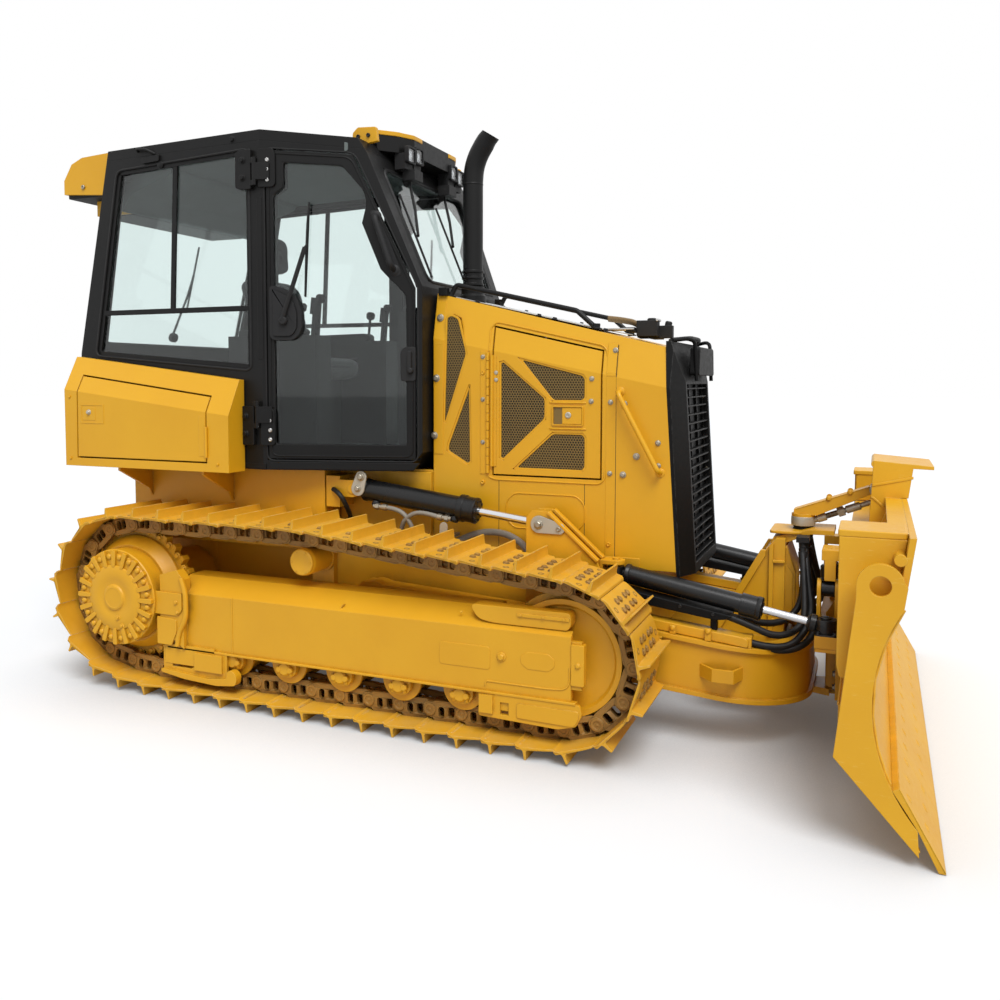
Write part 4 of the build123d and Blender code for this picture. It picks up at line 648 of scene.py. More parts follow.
def place_camera():
    """The camera fitted to the photograph."""
    data = bpy.data.cameras.new("camera")
    data.sensor_width = 36.0
    data.lens = CAMERA_LENS
    data.shift_y = CAMERA_SHIFT
    camera = bpy.data.objects.new("camera", data)
    yaw, pitch, roll = CAMERA_YAW, CAMERA_PITCH, CAMERA_ROLL
    ahead = Vector((-sin(yaw) * cos(pitch), cos(yaw) * cos(pitch), sin(pitch)))
    side = ahead.cross(Vector((0, 0, 1))).normalized()
    above = side.cross(ahead)
    right = side * cos(roll) + above * sin(roll)
    up = above * cos(roll) - side * sin(roll)
    turn = Matrix((right, up, -ahead)).transposed().to_4x4()
    camera.matrix_world = Matrix.Translation(CAMERA_PLACE) @ turn
    bpy.context.collection.objects.link(camera)
    bpy.context.scene.camera = camera


def light():
    """A broad sun, and a white sky that shows brighter than it lights."""
    data = bpy.data.lights.new("soft_sun", "SUN")
    data.energy = SUN_POWER
    data.angle = SUN_ANGLE
    lamp = bpy.data.objects.new("soft_sun", data)
    lamp.rotation_euler = Vector(SUN_TOWARDS).to_track_quat("Z", "Y").to_euler()
    bpy.context.collection.objects.link(lamp)

    world = bpy.data.worlds.new("studio")
    bpy.context.scene.world = world
    world.use_nodes = True
    tree = world.node_tree
    rays = tree.nodes.new("ShaderNodeLightPath").outputs
    seen = rays["Is Camera Ray"]
    for kind in ("Is Glossy Ray", "Is Transmission Ray"):
        either = tree.nodes.new("ShaderNodeMath")
        either.operation = "MAXIMUM"
        tree.links.new(seen, either.inputs[0])
        tree.links.new(rays[kind], either.inputs[1])
        seen = either.outputs[0]
    strength = tree.nodes.new("ShaderNodeMapRange")
    strength.inputs["To Min"].default_value = SKY_LIGHT
    strength.inputs["To Max"].default_value = 1.0
    tree.links.new(seen, strength.inputs[0])
    background = tree.nodes["Background"].inputs
    tree.links.new(strength.outputs[0], background["Strength"])
    background["Color"].default_value = rgb(1.0, 1.0, 1.0)


def lay_floor():
    """A pale ground with a painted contact shadow: darker where the air above it is closed off."""
    floor_shape = Shape().lathe(
        Vector((0, 0, -0.003)), (0, 0, 1), [(0, FLOOR_RADIUS), (3, FLOOR_RADIUS)], 64,
    )
    mesh = bpy.data.meshes.new("floor")
    mesh.from_pydata([tuple(p) for p in floor_shape.points], [], floor_shape.faces)
    floor = bpy.data.objects.new("floor", mesh)
    bpy.context.collection.objects.link(floor)
    m = Nodes("pale_floor")
    in_view = m.node("LightPath").outputs["Is Camera Ray"]
    # Painted shadow: the floor's colour and its glow darken by ambient occlusion under and beside the machine
    open_air = m.node("AmbientOcclusion", {"Distance": 0.6}, samples=8).outputs["AO"]
    out_of_painted_shadow = m.span(open_air, 0.25, 0.97)
    floor_with_painted_shadow = m.mix(out_of_painted_shadow, rgb(0.52, 0.555, 0.59), rgb(0.848, 0.87, 0.897))
    m.set(
        Base_Color=m.mix(in_view, rgb(0.60, 0.60, 0.60), floor_with_painted_shadow),
        Roughness=0.9,
        Emission_Color=rgb(1.0, 1.0, 1.0),
        Emission_Strength=m.times(in_view, m.span(out_of_painted_shadow, 0.0, 1.0, 0.05, 0.17)),
    )
    m.shader.inputs["Specular IOR Level"].default_value = 0.0
    mesh.materials.append(m.material)


bpy.context.scene.view_settings.view_transform = "Standard"
place_camera()
light()
lay_floor()


# ---------------------------------------------------------------- tracks
def chain_pins():
    """The chain's pins, evenly spaced along a belt round its wheels."""
    normals = []
    for i, (ax, az, ar) in enumerate(WHEELS):
        bx, bz, br = WHEELS[(i + 1) % len(WHEELS)]
        share = (ar - br) / hypot(bx - ax, bz - az)
        normals.append(atan2(bz - az, bx - ax) - pi / 2 + atan2(share, (1 - share * share) ** 0.5))
    pieces = []
    for i, (x, z, r) in enumerate(WHEELS):
        start, end = normals[i - 1], normals[i]
        while end < start:
            end += 2 * pi
        pieces.append((r * (end - start), x, z, r, start))
        nx, nz, nr = WHEELS[(i + 1) % len(WHEELS)]
        first = Vector((x + r * cos(end), z + r * sin(end)))
        last = Vector((nx + nr * cos(end), nz + nr * sin(end)))
        pieces.append(((last - first).length, first, last))
    total = sum(piece[0] for piece in pieces)
    pins = []
    for i in range(CHAIN_PITCH_COUNT):
        left = total * i / CHAIN_PITCH_COUNT
        for piece in pieces:
            if left <= piece[0]:
                break
            left -= piece[0]
        if len(piece) == 5:
            x, z, r, start = piece[1:]
            pins.append(Vector((x + r * cos(start + left / r), z + r * sin(start + left / r))))
        else:
            pins.append(piece[1].lerp(piece[2], left / piece[0]))
    return pins


def oval(middle, out, half_width, half_height, steps=3):
    """A rounded slot in a link's side, in (run, out) from its rear pin."""
    corners = rectangle(-1, 1, -1, 1)
    outline = [(middle + sx * half_width, out + sz * half_height) for sx, sz in corners]
    return rounded(outline, half_width, steps)


def link_rails(pitch):
    """The two forged rails of one link, in (run, out, sideways) from its rear pin, in millimetres."""
    rails = Shape()
    outline = [
        (-31, -20), (-18, -33), (10, -35), (26, -40), (pitch - 26, -40), (pitch - 10, -35),
        (pitch + 18, -33),
        (pitch + 31, -18), (pitch + 31, 18), (pitch + 14, 32), (pitch - 14, 36), (pitch - 24, 49), (24, 49),
        (14, 36), (-14, 32), (-31, 18),
    ]
    slots = [oval(pitch * 0.36, 8, 15, 24), oval(pitch * 0.64, 8, 15, 24)]
    for side in (-1, 1):
        # The rail steps inwards half way along, so that each link straddles the next
        flat = [Vector((u, v, side * 38)) for u, v in outline]
        holes = [[Vector((u, v, side * 38)) for u, v in slot] for slot in slots]
        rail = Shape().prism(flat, Vector((0, 0, side * 20)), holes)
        for point in rail.points:
            if point.x < pitch * 0.5:
                point.z += side * 12
        rails.join(rail)
        boss = [(-6, 30), (0, 30), (6, 27), (6, 18), (3, 16), (3, 6), (5, 4)]
        rails.join(unit_lathe(Vector((0, 0, side * 69)), side, boss, 20))
    rails.join(unit_lathe(Vector((pitch, 0, -42)), 1, [(0, 25), (84, 25)], 16))
    return rails


def unit_lathe(start, side, profile, sides):
    """A turned shape along the third axis, left in millimetres."""
    points = []
    for along, radius in profile:
        for i in range(sides):
            angle = 2 * pi * i / sides
            points.append(start + Vector((radius * cos(angle), radius * sin(angle), side * along)))
    faces = stacked(len(profile), sides)
    faces[0] = tuple(range(sides))
    return Shape().add(points, faces)


def shoe(pitch):
    """One shoe: a plate with a hooked front, a lapped rear, one grouser and clipped corners."""
    bar = pitch * 0.2
    profile = [
        (-16, 40), (-19, 47), (-14, 56), (-4, 60), (bar - 12, 60), (bar - 7, 66), (bar - 4.5, 105),
        (bar + 4.5, 105),
        (bar + 7, 66), (bar + 12, 60), (pitch - 30, 60), (pitch - 8, 57), (pitch + 6, 50), (pitch + 2, 45),
        (pitch - 12, 49), (8, 49), (-6, 46),
    ]
    plate = Shape().prism([Vector((u, v, -SHOE_HALF)) for u, v in profile], Vector((0, 0, 2 * SHOE_HALF)))
    for point in plate.points:
        clip = 0.0
        if point.x > pitch - 40:
            clip = 26.0
        if point.y > 100:
            clip = 9.0
        if point.x < -8:
            clip = 12.0
        point.z -= clip if point.z > 0 else -clip
    return plate


def shoe_bolts(pitch):
    """The four hexagon heads that hold a shoe, in their shallow pockets."""
    bolts = Shape()
    for run in (0.42, 0.72):
        for side in (-84, -36, 36, 84):
            bolts.join(
                unit_upright(
                    Vector((pitch * run, 60, side)), [(-1, 17), (1.5, 17), (1.5, 14), (6, 14), (9, 10)], 6,
                )
            )
    for side in (-150, 150):
        bolts.join(
            unit_upright(Vector((pitch * 0.56, 60, side)), [(-1, 13), (1.2, 13), (1.2, 9), (-0.5, 8)], 14)
        )
    return bolts


def unit_upright(start, profile, sides):
    """The same, along the second axis."""
    turned = unit_lathe(Vector(), 1, profile, sides)
    for point in turned.points:
        x, y, z = point
        point.x, point.y, point.z = start.x + x, start.y + z, start.z + y
    return turned


def track():
    """Both tracks: chain, shoes and bolts, one link at a time."""
    pins = chain_pins()
    chain, shoes, bolts = Shape(), Shape(), Shape()
    for i, pin in enumerate(pins):
        ahead = pins[(i + 1) % len(pins)]
        pitch = (ahead - pin).length
        u = (ahead - pin).normalized()
        n = Vector((u.y, -u.x))
        start = at(pin.x, TRACK_Y, pin.y)
        place = Matrix((
            (u.x / 1000, n.x / 1000, 0, start.x),
            (0, 0, 0.001, start.y),
            (u.y / 1000, n.y / 1000, 0, start.z),
            (0, 0, 0, 1),
        ))
        chain.join(link_rails(pitch), place)
        shoes.join(shoe(pitch), place)
        bolts.join(shoe_bolts(pitch), place)
    parts = (
        ("chain", chain, CHAIN_BROWN, 0), ("shoes", shoes, SHOE_YELLOW, 1.2), ("bolts", bolts, SHOE_BOLT, 0),
    )
    for side in ("left", "right"):
        for label, shape, material, bevel in parts:
            placed = shape if side == "left" else mirrored(shape)
            piece = make(f"track_{label}_{side}", placed, material, bevel=bevel, segments=1)
            if label == "shoes":
                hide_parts("track_" + side)


track()


# ---------------------------------------------------------------- undercarriage
def ring_of(count, radius, phase=0.0):
    """Angle, x and z of places round the sprocket."""
    for i in range(count):
        angle = 2 * pi * i / count + phase
        yield angle, SPROCKET_X + radius * cos(angle), SPROCKET_Z + radius * sin(angle)


def hub_details():
    """Ribs, screws and plugs on the final drive's cover."""
    ribs, screws = Shape(), Shape()
    count = 20
    for i in range(count):
        angle = 2 * pi * i / count
        along, across = Vector((cos(angle), sin(angle))), Vector((-sin(angle), cos(angle)))
        outline = [(154, 8), (164, 11), (228, 13), (237, 10)]
        corners = outline + [(reach, -half) for reach, half in reversed(outline)]
        loop = [Vector((SPROCKET_X, SPROCKET_Z)) + along * r + across * h for r, h in corners]
        ribs.xz([(p.x, p.y) for p in loop], HUB_FACE_Y - 26, HUB_FACE_Y + 11)
    for _, x, z in ring_of(count, 205, pi / count):
        screws.lathe(at(x, HUB_FACE_Y - 12, z), OUT, [(-12, 16), (13, 16), (20, 11), (22, 5)], 14)
    raised = Shape().lathe(
        at(SPROCKET_X, HUB_FACE_Y - 4, SPROCKET_Z), OUT,
        [
            (0, 164), (9, 164), (13, 158), (13, 96), (11, 90), (11, 66), (17, 62), (20, 56), (20, 48),
            (14, 42),
        ], 56,
    )
    raised.lathe(
        at(SPROCKET_X, HUB_FACE_Y - 30, SPROCKET_Z), OUT,
        [(-10, 238), (17, 240), (22, 236), (22, 200)], 56,
    )
    for x, z in ((185, 375), (210, 336)):
        screws.bolt(at(x + 6, HUB_FACE_Y + 8, z), OUT, 20)
    for label, shape in (("hub_ribs", ribs), ("hub_screws", screws), ("hub_covers", raised)):
        twin(label, shape, FRAME_YELLOW, bevel=1.8)
    ring = Shape()
    for angle, x, z in ring_of(28, 315):
        ring.bolt(at(x, 808, z), OUT, 26, turn=angle)
    for _, x, z in ring_of(28, 315, pi / 28):
        ring.lathe(at(x, 808, z), OUT, [(-1, 7), (3, 7), (3, 3)], 8)
    twin("sprocket_bolts", ring, FRAME_YELLOW, slot="worn_paint", bevel=0)


def frame_panels():
    """Weld seams, embossed fields and bolted plates of the track frames' outer faces."""
    face = FRAME_FACE_Y
    bars = Shape()
    # Bright lip along the bottom, and the upper bevel's two butt straps
    bars.box(453, 2558, face - 20, face + 12, 240, 251)
    bars.box(834, 842, face - 4, face + 3, 250, 520)
    bars.xz([(1426, 517), (1434, 517), (1450, 545), (1442, 545)], face - 34, face - 12)
    twin("track_frame_lips", bars, FRAME_YELLOW, bevel=2)

    emboss = Shape()
    for outline in (
        rounded(rectangle(1939, 2177, 339, 439), 18),
        rounded(
            [
                (2315, 385), (2345, 363), (2438, 363), (2465, 385), (2465, 415), (2440, 437), (2345, 437),
                (2315, 415),
            ], 10,
        ),
    ):
        emboss.xz(outline, face - 3, face + 2.2)
    # A raised line that runs along the bottom and up round the front corner
    low_line = bent(
        [
            at(2155, face, 268), at(2158, face, 291), at(2440, face, 291), at(2529, face, 300),
            at(2529, face, 392),
        ], 80,
    )
    emboss.tube(low_line, 4, 8)
    twin("track_frame_embossing", emboss, FRAME_YELLOW, bevel=2)

    plates = Shape()
    cover = rounded([(2075, 611), (2110, 550), (2180, 537), (2515, 537), (2528, 560), (2528, 611)], 30)
    plates.xz(cover, face - 84, face - 16)
    plates.xz(rounded(rectangle(2293, 2523, 576, 592), 6), face - 40, face - 10)
    # Rear guard: an upper cap, a lower plate and the wrap that holds both
    plates.xz(rounded([(398, 412), (540, 412), (566, 440), (566, 524), (398, 524)], 8), 944, 956)
    plates.xz(rounded([(410, 262), (498, 262), (530, 330), (530, 392), (410, 400)], 8), 944, 953)
    wrap = bent(
        [at(560, 950, 600), at(588, 950, 526), at(588, 950, 402), at(545, 950, 330), at(532, 950, 262)], 40,
    )
    plates.tube(wrap, 13, 10)
    # Front cap over the idler's yoke
    plates.xz(rounded(rectangle(2536, 2592, 319, 490), 5), 890, 926)
    twin("track_frame_plates", plates, FRAME_YELLOW, bevel=2.5)

    screws = Shape()
    screws.bolt(at(2229, face, 402), OUT, 30)
    screws.bolt(at(2566, 926, 404), OUT, 18)
    for x in (2310, 2410, 2500):
        screws.bolt(at(x, face - 10, 584), OUT, 13, washer=False)
    screws.bolt(at(533, 956, 478), OUT, 18)
    screws.bolt(at(540, 956, 428), OUT, 14)
    for x, z in ((2030, 566), (2130, 572)):
        screws.bolt(at(x, face - 30, z), (0, 1, 0.7), 13, washer=False)
    twin("track_frame_screws", screws, FRAME_YELLOW, bevel=0.8)


def chain_guides():
    """Guards under the track frame's ends, with their windows and skids."""
    face = FRAME_FACE_Y
    guides = Shape()
    window = [(482, 152), (482, 222), (619, 222), (619, 165), (600, 152)]
    guides.xz([(428, 118), (428, 252), (812, 252), (812, 130), (740, 118)], face - 6, face + 10, [window])
    guides.box(626, 790, face + 8, face + 22, 150, 236)
    skid = rounded(
        [
            (424, 121), (560, 101), (760, 91), (872, 104), (880, 150), (850, 178), (824, 170), (820, 132),
            (700, 118), (428, 140),
        ], 16,
    )
    guides.xz(skid, face - 14, face + 26)
    front_window = [(2226, 157), (2226, 209), (2265, 209), (2265, 157)]
    outline = rounded([(2128, 140), (2128, 242), (2575, 242), (2585, 200), (2560, 150), (2480, 130)], 12)
    guides.xz(outline, face - 8, face + 8, [front_window])
    guides.box(2133, 2196, face + 6, face + 20, 158, 236)
    guides.xz(
        rounded([(2303, 154), (2550, 150), (2571, 180), (2571, 216), (2303, 216)], 12), face + 6, face + 13,
    )
    twin("chain_guides", guides, FRAME_YELLOW, bevel=2.5)

    ends, screws = Shape(), Shape()
    for x in ROLLER_XS:
        block = rounded(
            [(x - 58, 250), (x - 58, 196), (x - 34, 166), (x + 34, 166), (x + 58, 196), (x + 58, 250)], 14,
        )
        ends.xz(block, 872, 900)
        ends.lathe(at(x, 896, ROLLER_Z - 16), OUT, [(0, 34), (12, 34), (20, 26), (20, 12)], 20)
        for side in (-30, 30):
            screws.lathe(at(x + side, 900, 190), (0, -0.1, -1), [(-20, 12), (10, 12), (14, 9)], 6)
            screws.lathe(at(x + side, 912, 205), OUT, [(-12, 17), (2, 17), (6, 13)], 6)
    twin("roller_ends", ends, FRAME_YELLOW, bevel=2)
    twin("roller_bolts", screws, FRAME_YELLOW, bevel=1)

    cover = Shape()
    cover.lathe(
        at(CARRIER_X, 878, CARRIER_Z), OUT, [(-4, 62), (2, 62), (6, 58), (6, 44), (3, 40), (3, 0.5)], 36,
    )
    for i in range(6):
        angle = 2 * pi * i / 6
        cover.bolt(at(CARRIER_X + 51 * cos(angle), 884, CARRIER_Z + 51 * sin(angle)), OUT, 9, washer=False)
    cover.lathe(at(CARRIER_X, 700, CARRIER_Z), OUT, [(8, 66), (8, 74), (20, 74), (20, 66)], 36)
    twin("carrier_covers", cover, FRAME_YELLOW, bevel=1)


hub_details()
frame_panels()
chain_guides()


# ---------------------------------------------------------------- hood
def area(outline):
    """The outline's area, below zero where it runs clockwise."""
    count = len(outline)
    return sum(
        outline[i][0] * outline[(i + 1) % count][1] - outline[(i + 1) % count][0] * outline[i][1]
        for i in range(count)
    ) / 2


def inset(outline, distance):
    """The outline moved inwards, corner by corner."""
    loop = list(outline) if area(outline) > 0 else list(reversed(outline))
    result = []
    for i, (x, z) in enumerate(loop):
        before = (Vector((x, z)) - Vector(loop[i - 1])).normalized()
        after = (Vector(loop[(i + 1) % len(loop)]) - Vector((x, z))).normalized()
        inward = Vector((-before.y, before.x)) + Vector((-after.y, after.x))
        if inward.length < 1e-6:
            inward = Vector((-before.y, before.x))
        reach = distance / max(0.35, inward.normalized().dot(Vector((-before.y, before.x))))
        point = Vector((x, z)) + inward.normalized() * reach
        result.append((point.x, point.y))
    return result


def within(outline, x, z):
    """Whether a point is inside an outline."""
    inside = False
    for i in range(len(outline)):
        (ax, az), (bx, bz) = outline[i - 1], outline[i]
        if (az > z) != (bz > z) and x < (bx - ax) * (z - az) / (bz - az) + ax:
            inside = not inside
    return inside


def perforated(field, y, pitch=13.0, hole=0.40, thick=1.2):
    """A sheet of hexagon cells, each with its own hole, filling a field."""
    sheet = Shape()
    limit = inset(field, pitch * 0.45)
    low_x, high_x = min(p[0] for p in field), max(p[0] for p in field)
    low_z, high_z = min(p[1] for p in field), max(p[1] for p in field)
    rise = pitch * 0.866
    for row in range(int((high_z - low_z) / rise) + 2):
        for column in range(int((high_x - low_x) / pitch) + 2):
            x = low_x + pitch * (column + 0.5 * (row % 2))
            z = low_z + rise * row
            if not within(limit, x, z):
                continue
            rim = [(pi / 3 * k + pi / 6) for k in range(6)]
            reach = pitch / 2 / cos(pi / 6)
            loops = []
            for radius, level in (
                (reach, y), (pitch * hole, y), (pitch * hole, y - thick), (reach, y - thick),
            ):
                loops += [at(x + radius * cos(a), level, z + radius * sin(a)) for a in rim]
            faces = []
            for band in range(3):
                for k in range(6):
                    m = (k + 1) % 6
                    faces.append((band * 6 + k, band * 6 + m, band * 6 + 6 + m, band * 6 + 6 + k))
            sheet.add(loops, faces)
    return sheet


def field_rim(field, y0, y1):
    """The drawn edge that a screen is clamped behind."""
    outer = rounded(inset(field, -1.0), 22)
    return Shape().xz(outer, y0, y1, [rounded(inset(field, 9.0), 14)])


def screens():
    """Perforated screens in the engine doors and the panels behind them, each over a dark sheet of painted
    shade.
    """
    for label, fields, body in (("door", FIELDS, "engine_door"), ("panel", PANEL_FIELDS, None)):
        sheet, rims, shade_sheet = Shape(), Shape(), Shape()
        for field in fields:
            sheet.join(perforated(field, FIELD_Y + 3.0))
            rims.join(field_rim(field, FIELD_Y - 0.5, FIELD_Y + 6.0))
            # The dark sheet under each screen is painted shade, standing in for the shadowed space behind the
            # holes
            shade_sheet.xz(rounded(inset(field, 3.0), 16), FIELD_Y - 0.4, FIELD_Y + 0.6)
        parts = (
            (label + "_screen", sheet, SCREEN, 0), (label + "_screen_rims", rims, YELLOW, 2.2),
            (label + "_screen_shade_sheet", shade_sheet, SHADE_AND_SEAM_DARK, 0),
        )
        for name, shape, material, bevel in parts:
            if body:
                pair("engine_" + name, shape, material, body, bevel=bevel)
            else:
                twin("hood_" + name, shape, material, bevel=bevel)


def lean(x, z, out=0.0):
    """A point that stands out from the hood's side."""
    return at(x, hood_side(x, z) + out, z)


def ribbon(points, half, thick):
    """A flat raised strip along points of the hood's side."""
    strip = Shape()
    for start, end in zip(points, points[1:]):
        along = (Vector(end) - Vector(start)).normalized()
        across = Vector((-along.y, along.x)) * half
        corners = [Vector(start) - along * half * 0.4 - across, Vector(end) + along * half * 0.4 - across]
        corners += [Vector(end) + along * half * 0.4 + across, Vector(start) - along * half * 0.4 + across]
        inner = [lean(c.x, c.y, -1.0) for c in corners]
        outer = [lean(c.x, c.y, thick) for c in corners]
        faces = [(3, 2, 1, 0), (4, 5, 6, 7)] + [(i, (i + 1) % 4, 4 + (i + 1) % 4, 4 + i) for i in range(4)]
        strip.add(inner + outer, faces)
    return strip


def hood_details():
    """Beads, seams, strips, hinges, bolts and grab bars of the hood's sides."""
    # The bead drawn round the engine door's opening, on the hood
    bead = [
        (1950, 1108), (1950, 1100), (1985, 1088), (2495, 1088), (2522, 1108), (2522, 1700), (2500, 1722),
        (2010, 1832), (1975, 1838), (1950, 1812), (1950, 1700),
    ]
    path = bent([lean(x, z, 0.5) for x, z in bead], 34, 4)
    twin("hood_door_bead", Shape().tube(path, 4.2, 8), YELLOW, bevel=0)

    seams = Shape()
    for points in (
        [(2573, 1722), (2573, 1586), (2573, 715)], [(2002, 1084), (2002, 715)], [(2428, 1084), (2428, 715)],
    ):
        seams.join(ribbon(points, 1.3, 0.35))
    twin("hood_seams", seams, SHADE_AND_SEAM_DARK, bevel=0)

    strips = Shape()
    strips.join(ribbon([(1682, 1935), (1682, 1745), (1682, 1210)], 25, 2.6))
    strips.join(ribbon([(2548, 1722), (2548, 1590), (2548, 715)], 22, 1.4))
    twin("hood_strips", strips, YELLOW, bevel=1.2)

    emboss = Shape()
    ring = [
        (2080, 863), (2390, 863), (2430, 903), (2430, 988), (2390, 1028), (2080, 1028), (2040, 988),
        (2040, 903),
    ]
    closed = ring + ring[:2]
    emboss.tube(bent([lean(x, z, 0.2) for x, z in closed], 26, 3), 3.4, 8)
    twin("hood_low_bead", emboss, YELLOW, bevel=0)

    hinge = Shape()
    for i in range(14):
        z = 1117 + 41.3 * i
        hinge.lathe(at(1944, SIDE_Y + 3, z), UP, [(0, 8.5), (39, 8.5)], 14)
    hinge.box(1905, 1941, SIDE_Y - 3, SIDE_Y + 1.2, 1112, 1700)
    twin("hood_hinges", hinge, YELLOW, bevel=0.8)

    screws = Shape()
    for x, z, size in (
        (1682, 1864, 26), (1672, 1570, 26), (1660, 1290, 26), (1918, 1672, 17), (1918, 1469, 17),
        (1918, 1264, 17),
        (2561, 1698, 18), (2547, 1463, 17), (2611, 1456, 21), (2669, 1221, 22), (2546, 1139, 17),
        (2608, 1136, 21),
        (2766, 1284, 18), (2768, 1182, 18),
    ):
        screws.bolt(lean(x, z, 1.0), (0, 1, 0.14 if z > hood_crease(x) else 0), size)
    twin("hood_bolts", screws, ZINC, bevel=0.6)
    plugs = Shape()
    for x, z in ((1918, 1597), (1918, 1072), (2544, 815)):
        plugs.cap_screw(lean(x, z, 0.5), OUT, 20)
    twin("hood_plugs", plugs, YELLOW, bevel=0.6)

    bar_y = SIDE_Y + 46
    grab = bent(
        [
            at(2592, SIDE_Y - 6, 1512), at(2592, bar_y, 1506), at(2778, bar_y, 1158),
            at(2778, SIDE_Y - 6, 1152),
        ], 34, 6,
    )
    bar = Shape().tube(grab, 11.5, 16)
    for x, z in ((2592, 1512), (2778, 1152)):
        bar.lathe(at(x, SIDE_Y - 3, z), OUT, [(0, 21), (4, 21), (7, 15)], 20)
    twin("hood_grab_bars", bar, YELLOW, bevel=0)


def engine_door_details():
    """Latch, knob and bolts of the engine doors."""
    latch = Shape()
    ring = rectangle(2268, 2420, 1352, 1444)
    latch.xz(rounded(ring, 8), SIDE_Y - 4, SIDE_Y + 5, [rounded(inset(ring, 6), 5)])
    latch.box(2318, 2412, SIDE_Y - 4, SIDE_Y + 1.5, 1360, 1436)
    for z in (1459, 1338):
        latch.tube(
            bent(
                [
                    at(2256, SIDE_Y - 4, z), at(2268, SIDE_Y - 1, z), at(2420, SIDE_Y - 1, z),
                    at(2432, SIDE_Y - 4, z),
                ], 6,
            ), 5, 8,
        )
    pair("engine_door_latch_frame", latch, YELLOW, "engine_door", bevel=1.5)
    # A dark plate in the latch's recess: painted shade of the pocket
    recess_shade = Shape().box(2275, 2318, SIDE_Y - 4, SIDE_Y - 1.2, 1359, 1437)
    pair("engine_door_latch_recess_shade", recess_shade, SCREEN, "engine_door", bevel=0.5)
    knob = Shape().lathe(at(2347, SIDE_Y, 1401), OUT, [(0, 15), (4, 15), (6, 12), (6, 7), (4, 6)], 20)
    knob.box(2336, 2358, SIDE_Y + 3, SIDE_Y + 5, 1399, 1403)
    for x, z in ((1986, 1597), (1986, 1563)):
        knob.lathe(at(x, SIDE_Y - 1, z), OUT, [(-1, 10), (3, 10), (5, 6)], 14)
    pair("engine_door_knob", knob, PALE_PLATE, "engine_door", bevel=0.6)
    screws = Shape()
    for x, z in ((2458, 1569), (2456, 1466)):
        screws.bolt(at(x, SIDE_Y - 2, z), OUT, 17)
    pair("engine_door_bolts", screws, ZINC, "engine_door", bevel=0.5)


def on_top(x, y, up=0.0):
    """A point over the hood's sloping top."""
    return at(x, y, hood_top(x) + up)


def hood_top_details():
    """Tank cover, rails' feet, cap and latch on top of the hood."""
    above = Vector((HOOD_TOP_FALL, 0, HOOD_LENGTH)).normalized()
    plate = Shape()
    corners = rectangle(1700, 2470, 318, -318)
    low = [on_top(x, y, -1) for x, y in corners]
    plate.prism(low, above * 0.0042)
    make("hood_top_plate", plate, TOP_GREY, bevel=1.2)
    screws = Shape()
    for x in (1860, 2178, 2256, 2502):
        for y in (-336, 336):
            screws.bolt(on_top(x, y, 0), above, 20)
    make("hood_top_bolts", screws, PLASTIC, slot="black_paint", bevel=0.6)
    mounts = Shape()
    for y in (-322, 322):
        for x in (1712, 2455):
            mounts.lathe(on_top(x, y, -2), above, [(0, 26), (7, 26), (10, 15), (24, 14)], 18)
    mounts.box(1668, 1712, -372, -338, 1972, 2012)
    mounts.box(1668, 1712, 338, 372, 1972, 2012)
    make("hood_rail_feet", mounts, BLACK, bevel=2)
    # Filler cap, its lock and the hose clip beside it
    block = Shape()
    block.box(2560, 2600, -190, -60, 1790, 1812)
    block.box(2600, 2700, -150, -96, 1770, 1845)
    block.box(2600, 2760, -96, -60, 1762, 1822)
    block.box(2640, 2688, -60, 60, 1762, 1806)
    block.lathe(at(2668, -123, 1838), UP, [(0, 22), (14, 22), (18, 16)], 16)
    block.lathe(at(2735, -78, 1815), (0.2, 0, 1), [(0, 17), (22, 17), (28, 12)], 16)
    block.lathe(at(2640, 0, 1790), UP, [(-20, 70), (14, 70), (22, 60), (22, 20), (30, 18)], 28)
    make("hood_cap_block", block, PLASTIC, slot="black_paint", bevel=2.5)
    arm = bent([at(2455, -120, 1858), at(2520, -122, 1850), at(2580, -124, 1838), at(2610, -124, 1820)], 30)
    lever = Shape().tube(arm, 11, 12, squash=1.6)
    make("hood_cap_lever", lever, TAN, bevel=0)
    clip = Shape().box(2440, 2600, -200, -80, 1800, 1808)
    clip.lathe(at(2700, -125, 1846), (0, -1, 0), [(-30, 7), (30, 7)], 12)
    make("hood_cap_plate", clip, TIN, bevel=1.5)


def guard_details():
    """Bead, lip and trim of the radiator guard's upper part."""
    trim = Shape()
    for side in (-1, 1):
        rail = bent(
            [
                at(2790, side * 300, 1740), at(2862, side * 236, 1752), at(2886, side * 200, 1740),
                at(2896, side * 196, 1560),
            ], 40, 5,
        )
        trim.tube(rail, 9, 10)
    trim.tube(
        bent([at(2800, -300, 1745), at(2850, -120, 1760), at(2850, 120, 1760), at(2800, 300, 1745)], 60, 6),
        10, 10,
    )
    make("guard_trim", trim, GUARD_BLACK, bevel=0)
    brow = Shape()
    outline = [(-205, 1585), (205, 1585), (182, 1716), (-182, 1716)]
    brow.yz(rounded(outline, 18), 2862, 2908)
    make("guard_brow", brow, GUARD_BLACK, bevel=5, segments=3)
    screws = Shape()
    for z in (760, 1120, 1480):
        for y in (-283, 283):
            screws.bolt(at(2868 - 0.067 * (z - 710) + 26, y * 0.93, z), (1, 0, 0.067), 15)
    make("guard_bolts", screws, ZINC, bevel=0.5)


screens()
hood_details()
engine_door_details()
hood_top_details()
guard_details()


